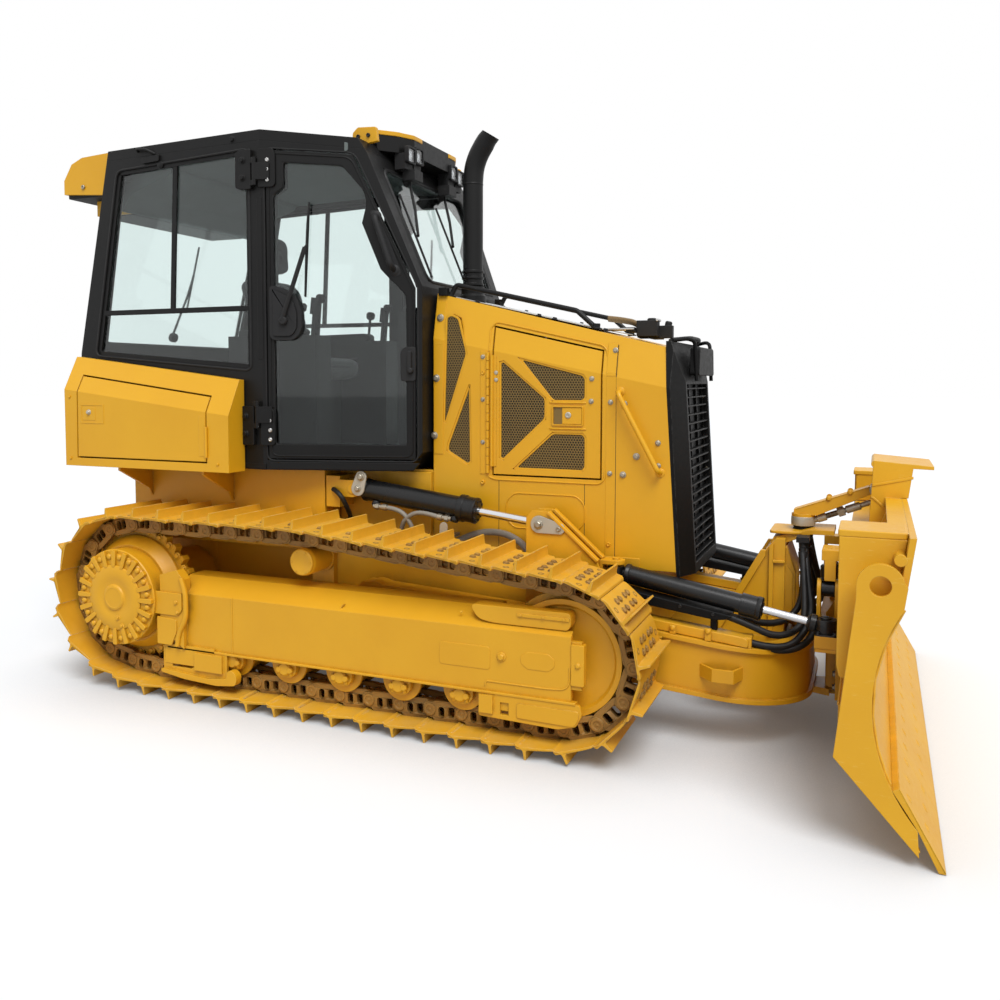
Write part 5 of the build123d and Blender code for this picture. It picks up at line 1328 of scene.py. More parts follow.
# ---------------------------------------------------------------- cab
CAB_DOOR = [(905, 1168), (905, 2672), (1326, 2640), (1616, 2004), (1616, 1168)]
DOOR_GLASS = [
    (940, 1245), (940, 2450), (990, 2485), (990, 2606), (1270, 2584), (1372, 2462), (1384, 2400),
    (1362, 2310),
    (1448, 2090), (1566, 1965), (1566, 1718), (1540, 1695), (1540, 1570), (1566, 1550), (1566, 1245),
]
SIDE_WINDOW = [(-205, 1690), (-30, 2640), (815, 2672), (815, 1610)]


def wall(x, z, out=0.0):
    """A point that stands out from the cab's side."""
    return at(x, cab_side(x) + out, z)


def wall_plate(outline, low, high, holes=()):
    """A plate that follows the cab's side, between two distances from it."""
    loops = [[wall(x, z, low) for x, z in loop] for loop in (outline, *holes)]
    return Shape().prism(loops[0], Vector((0, (high - low) / 1000, 0)), loops[1:])


def wall_bead(outline, distance, radius, corner, out=0.0):
    """A round bead that runs round an outline, inside it."""
    loop = inset(outline, distance)
    closed = loop + loop[:2]
    points = bent([wall(x, z, out) for x, z in closed], corner, 4)
    return Shape().tube(points[3:], radius, 8)


def cab_door_details():
    """Seals, handle, latch, wiper and hinges of the cab doors."""
    turn = (WALL_TURN, 1, 0)
    seal = wall_bead(CAB_DOOR, -3.0, 5.0, 40, -3.0)
    twin("cab_door_seals", seal, RUBBER, slot="black_paint", bevel=0)
    frame_lines = wall_bead(CAB_DOOR, 21.0, 4.5, 40, 0.0)
    pair("cab_door_bead", frame_lines, BLACK, "cab_door", bevel=0)
    gasket = wall_bead(DOOR_GLASS, -3.0, 6.0, 26, -7.0)
    pair("cab_door_gasket", gasket, RUBBER, "cab_door", slot="black_paint", bevel=0)

    handle = Shape()
    grip = bent(
        [wall(1428, 2342, -4), wall(1440, 2330, 42), wall(1512, 2105, 42), wall(1508, 2085, -4)], 34, 6,
    )
    handle.tube(grip, 15, 14)
    for x, z in ((1428, 2342), (1510, 2085)):
        handle.lathe(wall(x, z, -3), turn, [(0, 26), (6, 26), (11, 19)], 20)
    cup = rounded([(1398, 2368), (1436, 2372), (1548, 2062), (1500, 2052)], 26)
    handle.join(wall_plate(cup, -2, 3))
    pair("cab_door_grab_handle", handle, PLASTIC, "cab_door", bevel=1.5)

    latch = Shape()
    case = rounded([(1542, 1556), (1612, 1556), (1612, 1720), (1560, 1720), (1542, 1700)], 14)
    latch.join(wall_plate(case, -2, 10))
    latch.join(wall_plate(rounded(rectangle(1580, 1598, 1590, 1700), 8), 8, 26))
    latch.lathe(wall(1590, 1606, 8), turn, [(0, 14), (20, 14), (24, 9)], 18)
    pair("cab_door_latch", latch, PLASTIC, "cab_door", bevel=2.5)

    motor = Shape()
    case = rounded(
        [(930, 1752), (930, 2013), (968, 2013), (1052, 1968), (1082, 1900), (1082, 1800), (1046, 1752)], 34,
    )
    motor.join(wall_plate(case, -12, 14))
    motor.join(wall_plate(rounded(inset(case, 20), 30), 12, 22))
    pair("cab_door_wiper_motor", motor, PLASTIC, "cab_door", bevel=5, segments=3)
    arm = Shape()
    arm.lathe(wall(1000, 1845, 18), turn, [(0, 21), (16, 21), (22, 15), (22, 6)], 20)
    arm.tube([wall(1000, 1845, 34), wall(1048, 1990, 36), wall(1108, 2195, 26)], 7.5, 8, squash=1.5)
    arm.tube([wall(1108, 2195, 26), wall(1108, 2208, 12)], 5, 8)
    pair("cab_door_wiper_arm", arm, PLASTIC, "cab_door", bevel=0.8)
    blade = Shape()
    blade.tube(
        [wall(1118, 2410, 6), wall(1112, 2300, 12), wall(1106, 2180, 12), wall(1096, 1962, 6)], 4.5, 8,
    )
    blade.tube([wall(1118, 2412, 1), wall(1096, 1960, 1)], 4.0, 8)
    pair("cab_door_wiper_blade", blade, RUBBER, "cab_door", bevel=0)

    plate, screws = Shape(), Shape()
    plate.join(
        wall_plate(
            rounded([(878, 2486), (878, 2668), (950, 2672), (962, 2640), (962, 2500), (950, 2486)], 10), -1,
            12,
        )
    )
    plate.join(
        wall_plate(
            rounded([(878, 1240), (878, 1420), (938, 1420), (948, 1400), (948, 1250), (938, 1240)], 10), -1,
            12,
        )
    )
    for z in (2614, 2569, 2520, 1362, 1315, 1269):
        screws.lathe(wall(926, z, 11), turn, [(0, 10), (5, 10), (8, 7), (8, 4), (6, 3.5)], 14)
    pair("cab_door_hinge_plate", plate, BLACK, "cab_door", bevel=2)
    pair("cab_door_hinge_screws", screws, TIN, "cab_door", bevel=0.5)
    fixed, bolts = Shape(), Shape()
    for low, high in ((2478, 2668), (1240, 1432)):
        block = rounded(
            [(752, low + 12), (752, high - 12), (778, high), (845, high), (845, low), (778, low)], 8,
        )
        fixed.join(wall_plate(block, -2, 22))
        for z in (low + 56, high - 50):
            bolts.bolt(wall(796, z, 22), OUT, 25)
    twin("cab_hinge_blocks", fixed, BLACK, bevel=3)
    twin("cab_hinge_bolts", bolts, BLACK, bevel=0.8)


def cab_windows():
    """Bars, gaskets, latches, hooks, studs and lips round the fixed windows."""
    bars = Shape()
    bars.join(wall_plate([(304, 1915), (332, 1915), (366, 2655), (338, 2654)], -20, -6))
    bars.join(wall_plate([(-160, 1898), (815, 1898), (815, 1924), (-155, 1924)], -20, -4))
    bars.join(wall_plate([(-205, 1690), (-30, 2640), (-8, 2632), (-180, 1695)], -22, -5))
    bars.join(wall_plate([(-30, 2640), (815, 2672), (815, 2652), (-30, 2620)], -22, -5))
    bars.join(wall_plate([(796, 1612), (796, 2660), (815, 2672), (815, 1610)], -22, -5))
    bars.join(wall_plate([(-205, 1690), (-196, 1712), (815, 1636), (815, 1610)], -22, -5))
    twin("cab_side_window_bars", bars, BLACK, bevel=1.5)
    gasket = wall_bead(SIDE_WINDOW, -5.0, 6.5, 40, -1.0)
    twin("cab_side_gaskets", gasket, RUBBER, slot="black_paint", bevel=0)
    catch = Shape()
    for x, z in ((-244, 1640), (-196, 1644)):
        catch.lathe(wall(x, z, -2), OUT, [(0, 17), (14, 17), (20, 12), (20, 6)], 18)
    catch.tube(bent([wall(-250, 1618, 14), wall(-205, 1612, 20), wall(-128, 1632, 16)], 16), 8, 10)
    twin("cab_corner_catches", catch, TIN, bevel=0.6)
    hook = Shape()
    hook.tube(
        bent([wall(112, 2730, -6), wall(124, 2738, 20), wall(190, 2728, 24), wall(224, 2708, -4)], 22), 8, 10,
    )
    hook.join(wall_plate(rounded([(150, 2662), (262, 2668), (262, 2700), (150, 2694)], 8), -4, 12))
    hook.lathe(wall(262, 2650, -12), OUT, [(0, 20), (14, 20), (18, 14)], 18)
    hook.bolt(wall(720, 2730, -3), OUT, 26)
    twin("cab_roof_hooks", hook, BLACK, bevel=1)
    sill = Shape()
    for i in range(26):
        sill.lathe(wall(1000 + 22 * i, 1150, -2), (WALL_TURN, 1, 0), [(0, 5), (3, 5), (4, 3)], 10)
    twin("cab_sill_studs", sill, BLACK, bevel=0)
    lip = Shape()
    lip.join(wall_plate(rectangle(-310, 900, 1124, 1150), -2, 7))
    lip.join(wall_plate([(915, 1124), (1600, 1124), (1630, 1160), (915, 1160)], -2, 7))
    lip.join(wall_plate(rectangle(862, 892, 1660, 2440), -2, 3))
    twin("cab_lower_lips", lip, BLACK, bevel=2)


def front_face(y, z, out=0.0):
    """A point that stands out from the windscreen's plane."""
    x = 1640 - 255 * (z - 2010) / 635 if z > 2010 else 1640
    return at(x + out, y, z + out * 0.35)


def windscreen_wipers():
    """Wipers and gaskets of the windscreen and the rear window."""
    gear, blades = Shape(), Shape()
    for y, lean_y in ((-250, -120), (150, -120)):
        gear.lathe(front_face(y, 2556, 0), (1, 0, 0.35), [(0, 24), (24, 24), (30, 16)], 18)
        gear.tube(
            [
                front_face(y, 2556, 24), front_face(y + lean_y * 0.5, 2400, 26),
                front_face(y + lean_y, 2260, 18),
            ], 7, 8, 1.5,
        )
        blades.tube([front_face(y + lean_y - 18, 2470, 9), front_face(y + lean_y + 6, 2060, 9)], 6, 8)
        gear.box(1432, 1500, y - 45, y + 45, 2560, 2612)
    make("windscreen_wiper_gear", gear, PLASTIC, bevel=1)
    make("windscreen_wiper_blades", blades, RUBBER, bevel=0)
    loop = [(-400, 2040), (400, 2040), (455, 2590), (-455, 2590)]
    corners = [front_face(y, z, -2) for y, z in loop + loop[:2]]
    seal = Shape().tube(bent(corners, 60, 5)[4:], 9, 8)
    make("windscreen_gasket", seal, RUBBER, slot="black_paint", bevel=0)
    rear = [(-560, 1760), (560, 1760), (600, 2620), (-600, 2620)]
    ring = []
    for y, z in rear + rear[:2]:
        # The rear wall leans forward above the lockers
        x = -318 + (z - 1700) * 226 / 1050
        ring.append(at(x - 2, y, z))
    back = Shape().tube(bent(ring, 70, 5)[4:], 9, 8)
    make("rear_window_gasket", back, RUBBER, slot="black_paint", bevel=0)
    arm = Shape()
    arm.lathe(at(-296, 0, 1812), (-1, 0, 0.2), [(0, 28), (26, 28), (32, 18)], 18)
    arm.tube([at(-322, 0, 1812), at(-270, 90, 2080), at(-240, 110, 2200)], 7, 8, 1.5)
    arm.tube([at(-286, 96, 1990), at(-204, 120, 2370)], 6, 8)
    make("rear_wiper", arm, PLASTIC, bevel=0.8)


def roof_details():
    """Yellow caps of the visor, its lamps, and the housing behind the roof."""
    caps = Shape()
    for side in (-1, 1):
        outer = [
            (1300, side * 472), (1424, side * 345), (1474, side * 246), (1474, side * 150),
            (1300, side * 240),
        ]
        caps.xy(rounded(outer, 14), 2768, 2790)
        wing = [(1262, 2700), (1262, 2762), (1290, 2788), (1392, 2782), (1402, 2712), (1330, 2704)]
        caps.xz(rounded(wing, 8), side * 470, side * 492)
    make("visor_caps", caps, YELLOW, bevel=4, segments=3)
    bezel, silver, lens = Shape(), Shape(), Shape()
    for side in (-1, 1):
        for y, low in ((290, 2640), (205, 2652)):
            middle = side * y
            face = rounded(rectangle(middle - 42, middle + 42, low, low + 84), 12)
            inner = rounded(rectangle(middle - 33, middle + 33, low + 9, low + 75), 9)
            bezel_loop = [at(1462, a, b) for a, b in face]
            bezel.prism(bezel_loop, Vector((0.022, 0, 0)), [[at(1462, a, b) for a, b in inner]])
            silver.prism([at(1464, a, b) for a, b in inner], Vector((0.006, 0, 0)))
            lens.prism([at(1476, a, b) for a, b in inner], Vector((0.003, 0, 0)))
            silver.lathe(at(1468, middle, low + 42), AHEAD, [(0, 20), (4, 17), (5, 8), (3, 3)], 18)
    make("work_lamp_bezels", bezel, PLASTIC, bevel=1.5)
    make("work_lamp_reflectors", silver, REFLECTOR, bevel=0.5)
    make("work_lamp_lenses", lens, LAMP_GLASS, bevel=0)
    screws = Shape()
    for side in (-1, 1):
        for x, z in ((1296, 2742), (1352, 2744)):
            screws.cap_screw(at(x, side * 492, z), (0, side, 0), 20)
    make("visor_screws", screws, PLASTIC, bevel=0.5)
    pod = Shape()
    pod.box(-500, -120, -585, 585, 2552, 2578)
    pod.box(-398, -152, -470, 470, 2466, 2560)
    make("roof_pod_underside", pod, PLASTIC, bevel=6, segments=3)
    studs = Shape()
    for side in (-1, 1):
        studs.cap_screw(at(-371, side * 600, 2606), (0, side, 0), 24)
        studs.cap_screw(at(-150, side * 600, 2606), (0, side, 0), 24)
    vents = Shape()
    for i in range(9):
        y = -400 + 100 * i
        vents.box(-511.5, -500, y - 30, y + 30, 2598, 2640)
        vents.xz([(-506, 2656), (-496, 2656), (-470, 2702), (-478, 2706)], y - 30, y + 30)
    make("roof_pod_studs", studs, ZINC, bevel=0.5)
    make("roof_pod_vents", vents, PLASTIC, bevel=2)
    ribs = Shape()
    for y in (-420, -140, 140, 420):
        line_low = [
            at(-60, y - 30, 2757), at(860, y - 30, 2767), at(860, y + 30, 2767), at(-60, y + 30, 2757),
        ]
        ribs.prism(line_low, Vector((0, 0, 0.005)))
    make("cab_roof_ribs", ribs, BLACK, bevel=3)


def exhaust():
    """A straight stack with clamp rings, bending forward to an oblique open mouth."""
    x, y = 1776, -200
    spine = [(x, 1960), (x, 2545), (x + 6, 2610), (x + 26, 2668), (x + 62, 2725), (x + 96, 2766)]
    path = bent([at(a, y, b) for a, b in spine], 90, 4)
    outer, inner = Shape().tube(path, 50, 28), Shape().tube(path, 45, 28)
    # The mouth is cut upright: its last ring leans back along the pipe
    rings = len(outer.points) // 28
    for shape in (outer, inner):
        for ring in (rings - 3, rings - 2, rings - 1):
            share = (ring - rings + 4) / 3
            for k in range(28):
                point = shape.points[ring * 28 + k]
                low = at(x + 96, y, 2766).z
                point.z += share * 0.25 * (low - point.z)
    last = (rings - 1) * 28
    skin = Shape()
    skin.add(outer.points, outer.faces[1:-1])
    skin.add(inner.points, [tuple(reversed(face)) for face in inner.faces[1:-1]])
    count = len(outer.points)
    for k in range(28):
        m = (k + 1) % 28
        skin.faces.append((last + k, last + m, count + last + m, count + last + k))
        skin.faces.append((k, count + k, count + m, m))
    for z in (2101, 2070, 2038):
        skin.lathe(at(x, y, z - 8), UP, [(0, 51), (2, 56), (12, 56), (14, 51)], 28)
    skin.lathe(at(x, y, 2527), UP, [(0, 50), (2, 51.5), (5, 51.5), (7, 50)], 28)
    skin.lathe(at(x, y, 1950), UP, [(0, 66), (30, 66), (38, 58), (74, 58), (78, 51)], 28)
    piece = make("exhaust_pipe", skin, BLACK, bevel=0)
    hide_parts("exhaust_stack")


def pillow(outline, half, crown, count=9):
    """A cushion from its side outline: sections across it shrink towards the ends."""
    middle = Vector((sum(p[0] for p in outline) / len(outline), sum(p[1] for p in outline) / len(outline)))
    points = []
    for i in range(count):
        t = -1 + 2 * i / (count - 1)
        shrink = 1 - crown * t ** 4
        for x, z in outline:
            point = middle + (Vector((x, z)) - middle) * shrink
            points.append(at(point.x, half * t, point.y))
    return Shape().add(points, stacked(count, len(outline)))


def stuffed(name, shape, node_name, limit, pressure=4.0):
    """A cushion blown up by cloth simulation, then held within a limit of its pattern."""
    piece = new_piece(name, shape)
    bpy.context.view_layer.objects.active = piece
    remesh = piece.modifiers.new("remesh", "REMESH")
    remesh.mode = "VOXEL"
    remesh.voxel_size = 0.009
    bpy.ops.object.modifier_apply(modifier="remesh")
    rest = [v.co.copy() for v in piece.data.vertices]
    blow = piece.modifiers.new("blow", "CLOTH")
    blow.settings.use_pressure = True
    blow.settings.uniform_pressure_force = pressure
    blow.settings.effector_weights.gravity = 0.0
    blow.settings.quality = 5
    for step in range(1, 21):
        bpy.context.scene.frame_set(step)
    bpy.ops.object.modifier_apply(modifier="blow")
    bpy.context.scene.frame_set(1)
    for vertex, start in zip(piece.data.vertices, rest):
        move = vertex.co - start
        if move.length > limit / 1000:
            vertex.co = start + move.normalized() * limit / 1000
    smoothing = piece.modifiers.new("smooth", "SMOOTH")
    smoothing.iterations = 4
    bpy.ops.object.modifier_apply(modifier="smooth")
    piece.data.materials.append(CLOTH)
    piece.data.shade_smooth()
    subdivision = piece.modifiers.new("fine", "SUBSURF")
    subdivision.levels = subdivision.render_levels = 1
    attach(piece, "chassis")
    if node_name:
        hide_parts(node_name)


def seat():
    """The seat, its armrests and levers, and the dash."""
    cushion = rounded([(404, 1572), (404, 1660), (640, 1652), (880, 1676), (896, 1640), (880, 1576)], 34, 4)
    stuffed("seat_cushion_cloth", pillow(cushion, 232, 0.10), "seat_cushion", 14)
    back = rounded(
        [(446, 1700), (346, 2110), (372, 2140), (440, 2140), (484, 2060), (552, 1720), (520, 1694)], 32, 4,
    )
    stuffed("seat_back_cloth", pillow(back, 224, 0.12), "seat_back", 14)
    rest = rounded(
        [(352, 2176), (344, 2330), (372, 2388), (424, 2388), (446, 2330), (450, 2190), (420, 2168)], 28, 4,
    )
    stuffed("seat_headrest_cloth", pillow(rest, 140, 0.16), None, 10)
    piping = Shape()
    for side in (-1, 1):
        y = side * 196
        run = [(470, 1716), (386, 2100), (420, 2126), (470, 2060), (538, 1724)]
        piping.tube(bent([at(x, y, z) for x, z in run], 40, 4), 5, 8)
        run = [(424, 1664), (640, 1668), (872, 1684)]
        piping.tube(bent([at(x, y, z) for x, z in run], 40, 4), 5, 8)
    posts = Shape()
    for y in (-60, 60):
        posts.tube([at(404, y, 2100), at(392, y, 2230)], 8, 10)
    make("seat_headrest_posts", posts, TIN, slot="chromed_rod", bevel=0)
    make("seat_piping", piping, CLOTH, bevel=0)
    arms = Shape()
    for side in (-1, 1):
        pad = rounded([(470, 1782), (470, 1826), (860, 1834), (884, 1812), (860, 1786)], 18)
        arms.xz(pad, side * 296, side * 372)
        for x, low, high in ((846, 1780, 1930), (962, 1780, 1972)):
            arms.tube([at(x, side * 352, low), at(x + 16, side * 352, high)], 8, 10)
            arms.lathe(
                at(x + 16, side * 352, high - 14), (0.1, 0, 1), [(0, 14), (10, 24), (34, 26), (46, 16)], 20,
            )
        boot = [(0, 46), (12, 44), (16, 36), (26, 38), (30, 30), (40, 31), (46, 20)]
        arms.lathe(at(846, side * 352, 1776), UP, boot, 20)
    make("cab_armrests_and_levers", arms, PLASTIC, bevel=4, segments=3)
    dash = Shape()
    dash.yz(rounded([(-310, 1780), (310, 1780), (280, 1935), (-280, 1935)], 24), 1420, 1452)
    dash.yz(rounded(rectangle(-150, 150, 1820, 1915), 14), 1404, 1424)
    for y in (-220, 220):
        dash.box(1300, 1420, y - 34, y + 34, 1188, 1206)
        dash.tube([at(1400, y, 1200), at(1450, y, 1420)], 12, 10)
    make("cab_dash_panel", dash, PLASTIC, bevel=4, segments=3)


cab_door_details()
cab_windows()
windscreen_wipers()
roof_details()
exhaust()
seat()


# ---------------------------------------------------------------- lockers
def locker_details():
    """Latch, knob, hinge leaf and studs of the locker doors."""
    face = 850.0
    latch = Shape()
    outer = rounded(rectangle(-167, -8, 1332, 1434), 8)
    inner = rounded(rectangle(-158, -17, 1341, 1425), 6)
    latch.xz(outer, face - 3, face + 1.6, [inner])
    latch.xz(rounded(rectangle(-150, -66, 1349, 1417), 6), face - 3, face + 1.4)
    pair("locker_latch", latch, YELLOW, "locker_door", bevel=0.8)
    knob = Shape().lathe(
        at(-108, face + 1, 1391), OUT, [(-3, 14), (2, 14), (4, 11), (10, 10), (13, 7), (13, 2)], 18,
    )
    pair("locker_knob", knob, PALE_PLATE, "locker_door", bevel=0.5)
    leaf = Shape().xz(rounded(rectangle(600, 639, 1186, 1384), 5), face - 2, face + 1.8)
    pair("locker_hinge_leaf", leaf, YELLOW, "locker_door", bevel=0.8)
    studs = Shape()
    for z in (1150, 1470):
        studs.bolt(at(-240, face, z), OUT, 15, washer=False)
    studs.bolt(at(712, face, 1150), OUT, 15, washer=False)
    twin("locker_studs", studs, YELLOW, bevel=0.5)


# ---------------------------------------------------------------- cylinders
def capsule(start, end, first, last, steps=10):
    """Outline round two circles, in (x, z)."""
    a, b = Vector(start), Vector(end)
    heading = atan2((b - a).y, (b - a).x)
    outline = []
    for middle, radius, turn in ((b, last, heading - pi / 2), (a, first, heading + pi / 2)):
        for i in range(steps + 1):
            angle = turn + pi * i / steps
            outline.append((middle.x + radius * cos(angle), middle.y + radius * sin(angle)))
    return outline


def lift_cylinder_details():
    """Rings, fittings, hoses and keepers of the lift cylinders."""
    rear, front = at(1287, 505, 1027), at(2250, 505, 908)
    axis = (front - rear).normalized()
    down = Vector((axis.z, 0, -axis.x))
    barrel = Shape()
    barrel.lathe(rear, axis, [(46, 50), (52, 57), (64, 57), (70, 54)], 40)
    barrel.lathe(rear, axis, [(560, 53), (566, 65), (592, 65), (598, 60)], 40)
    barrel.lathe(
        rear, axis, [(636, 58), (640, 62), (652, 62), (656, 54), (656, 40), (660, 32), (660, 21)], 40,
    )
    for place in (128, 556):
        port = rear + axis * place / 1000 + down * 0.046 + Vector((0, 0.026, 0))
        barrel.lathe(port, down + Vector((0, 0.5, 0)), [(0, 20), (16, 20), (22, 16)], 20)
    pair("lift_barrel_rings", barrel, CYLINDER_BLACK, "lift_barrel", bevel=1)
    screws = Shape()
    spread = down.cross(axis)
    for i in range(10):
        angle = 2 * pi * i / 10 + 0.3
        place = rear + axis * 0.655 + (down * cos(angle) + spread * sin(angle)) * 0.047
        screws.cap_screw(place, axis, 13)
    pair("lift_barrel_screws", screws, CYLINDER_BLACK, "lift_barrel", bevel=0)
    wiper = Shape().lathe(front, -axis, [(34, 20), (36, 27), (52, 27), (56, 21)], 24)
    pair("lift_rod_collar", wiper, CYLINDER_BLACK, "lift_rod", bevel=0)

    fittings = Shape()
    runs = [
        ((1403, 548, 947), (1482, 550, 943)),
        ((1819, 548, 908), (1747, 550, 915)),
    ]
    for start, end in runs:
        a, b = at(*start), at(*end)
        fittings.tube([a, b], 12, 12)
        fittings.lathe(a.lerp(b, 0.15), b - a, [(0, 13), (1, 17), (20, 17), (21, 13)], 6)
        fittings.lathe(a.lerp(b, 0.62), b - a, [(0, 13), (1, 16), (24, 16), (26, 13)], 16)
    pair("lift_hose_fittings", fittings, ZINC, "lift_barrel", bevel=0.5)
    for side, sign in (("left", 1), ("right", -1)):
        routes = [
            [(1478, 550, 943), (1548, 552, 938), (1596, 550, 890), (1616, 530, 820), (1620, 480, 770)],
            [(1750, 550, 915), (1672, 552, 934), (1604, 552, 918), (1548, 545, 862), (1532, 505, 790)],
        ]
        for label, route in zip(("rear", "front"), routes):
            points = [at(x, sign * y, z) for x, y, z in route]
            line(f"lift_hose_{label}_{side}", points, 11, GREY_HOSE, f"lift_barrel_{side}")
        route = [
            (1770, 416, 760), (1825, 424, 800), (1940, 428, 840), (2060, 428, 836), (2160, 424, 776),
            (2190, 418, 700),
        ]
        points = [at(x, sign * y, z) for x, y, z in route]
        line(f"main_hose_{side}", points, 16, GREY_HOSE)

    keeper = Shape().xz(capsule((1340, 1088), (1322, 1030), 30, 36), 557, 566)
    twin("lift_keeper_rear", keeper, PALE_PLATE, bevel=1.5)
    screws = Shape()
    screws.bolt(at(1340, 566, 1088), OUT, 28)
    screws.bolt(at(1322, 566, 1030), OUT, 24)
    twin("lift_keeper_rear_bolts", screws, ZINC, bevel=0.5)
    keeper = Shape().xz(capsule((2264, 912), (2361, 897), 40, 25), 555, 564)
    twin("lift_keeper_front", keeper, PALE_PLATE, "lift_frame", bevel=1.5)
    screws = Shape()
    screws.bolt(at(2262, 564, 912), OUT, 30)
    screws.cap_screw(at(2358, 564, 897), OUT, 22)
    twin("lift_keeper_front_bolts", screws, ZINC, "lift_frame", bevel=0.5)
    # Plates welded along the lug's sloping edge, and the clip plate behind the hoses
    edge = Shape()
    for y in (455, 540):
        edge.prism(
            [at(2300, y - 10, 964), at(2300, y + 25, 964), at(2534, y + 25, 758), at(2534, y - 10, 758)],
            Vector((0.008, 0, 0.010)),
        )
    edge.box(2534, 2562, 470, 540, 640, 700)
    twin("lift_lug_flanges", edge, FRAME_YELLOW, "lift_frame", bevel=2)
    clip = Shape().xz(capsule((1786, 872), (1783, 800), 20, 20), 556, 562)
    clip.box(1776, 1796, 400, 558, 806, 822)
    pair("hose_clip_plate", clip, PALE_PLATE, "lift_barrel", bevel=1)


def angle_cylinder_details():
    """Rings, pin caps, guards and hoses of the angle cylinders."""
    rear, front = at(2600, 470, 710), at(3490, 470, 553)
    axis = (front - rear).normalized()
    rings = Shape()
    rings.lathe(rear, axis, [(40, 40), (46, 46), (60, 46), (66, 42)], 36)
    rings.lathe(
        rear, axis, [(618, 47), (624, 51), (640, 51), (646, 46), (646, 30), (650, 26), (650, 18)], 36,
    )
    pair("angle_barrel_rings", rings, CYLINDER_BLACK, "angle_barrel", bevel=1)
    eye = Shape()
    eye.lathe(front, -axis, [(36, 30), (40, 36), (62, 36), (67, 30), (74, 28), (77, 18)], 28)
    eye.lathe(at(3490, 470, 553 - 30), UP, [(0, 24), (0, 44), (4, 46), (56, 46), (60, 44), (60, 24)], 32)
    pair("angle_rod_eye", eye, CYLINDER_BLACK, "angle_rod", bevel=1)
    caps = Shape()
    caps.lathe(at(3490, 470, 582), UP, [(-4, 22), (6, 22), (10, 16), (10, 6)], 20)
    caps.xy(rounded(rectangle(3448, 3540, 520, 428), 20), 519, 527)
    for x in (3462, 3526):
        caps.bolt(at(x, 506, 527), UP, 20)
    twin("angle_pin_caps", caps, CYLINDER_BLACK, "swing", bevel=1.5)

    guard = Shape()
    guard.xz([(2636, 650), (2694, 592), (3050, 546), (3092, 552), (3119, 570), (3100, 574)], 440, 532)
    for x, z in ((2700, 598), (3040, 552)):
        guard.box(x - 14, x + 14, 470, 512, 440, z)
    twin("angle_hose_guards", guard, GUARD_BLACK, "lift_frame", bevel=5, segments=3)
    screws = Shape()
    for x in (2760, 2900, 3040):
        screws.cap_screw(at(x, 532, 632 - 0.15 * (x - 2640)), OUT, 16)
    twin("angle_guard_screws", screws, CYLINDER_BLACK, "lift_frame", bevel=0)
    for side, sign in (("left", 1), ("right", -1)):
        routes = {
            "upper": [
                (3060, 490, 568), (3170, 494, 540), (3300, 470, 478), (3400, 380, 520), (3392, 270, 640),
                (3372, 190, 800),
            ],
            "middle": [
                (3150, 496, 466), (3260, 500, 442), (3372, 440, 450), (3432, 330, 560), (3400, 230, 680),
                (3380, 165, 820),
            ],
            "lower": [
                (3150, 470, 458), (3290, 486, 424), (3400, 420, 440), (3446, 330, 500), (3420, 250, 610),
                (3384, 150, 760),
            ],
            "inner": [
                (3060, 440, 556), (3180, 400, 520), (3300, 300, 500), (3372, 200, 560), (3380, 165, 700),
                (3376, 172, 850),
            ],
        }
        for label, route in routes.items():
            points = [at(x, sign * y, z) for x, y, z in route]
            line(f"angle_hose_{label}_{side}", points, 15, RUBBER, "lift_frame")
    ends = Shape()
    for y, z in ((172, 838), (165, 806), (150, 764), (190, 794)):
        ends.lathe(
            at(3376, y, z - 20), (-0.1, -0.2, 1), [(0, 17), (2, 20), (30, 20), (32, 15), (46, 15)], 14,
        )
    ends.box(3345, 3400, 120, 200, 846, 870)
    twin("hose_collars", ends, RUBBER, "lift_frame", bevel=1)


# ---------------------------------------------------------------- blade frame
def arm_top(x):
    """Top of the C-frame's arm over x."""
    return 485 - (x - 2763) * 77 / 737


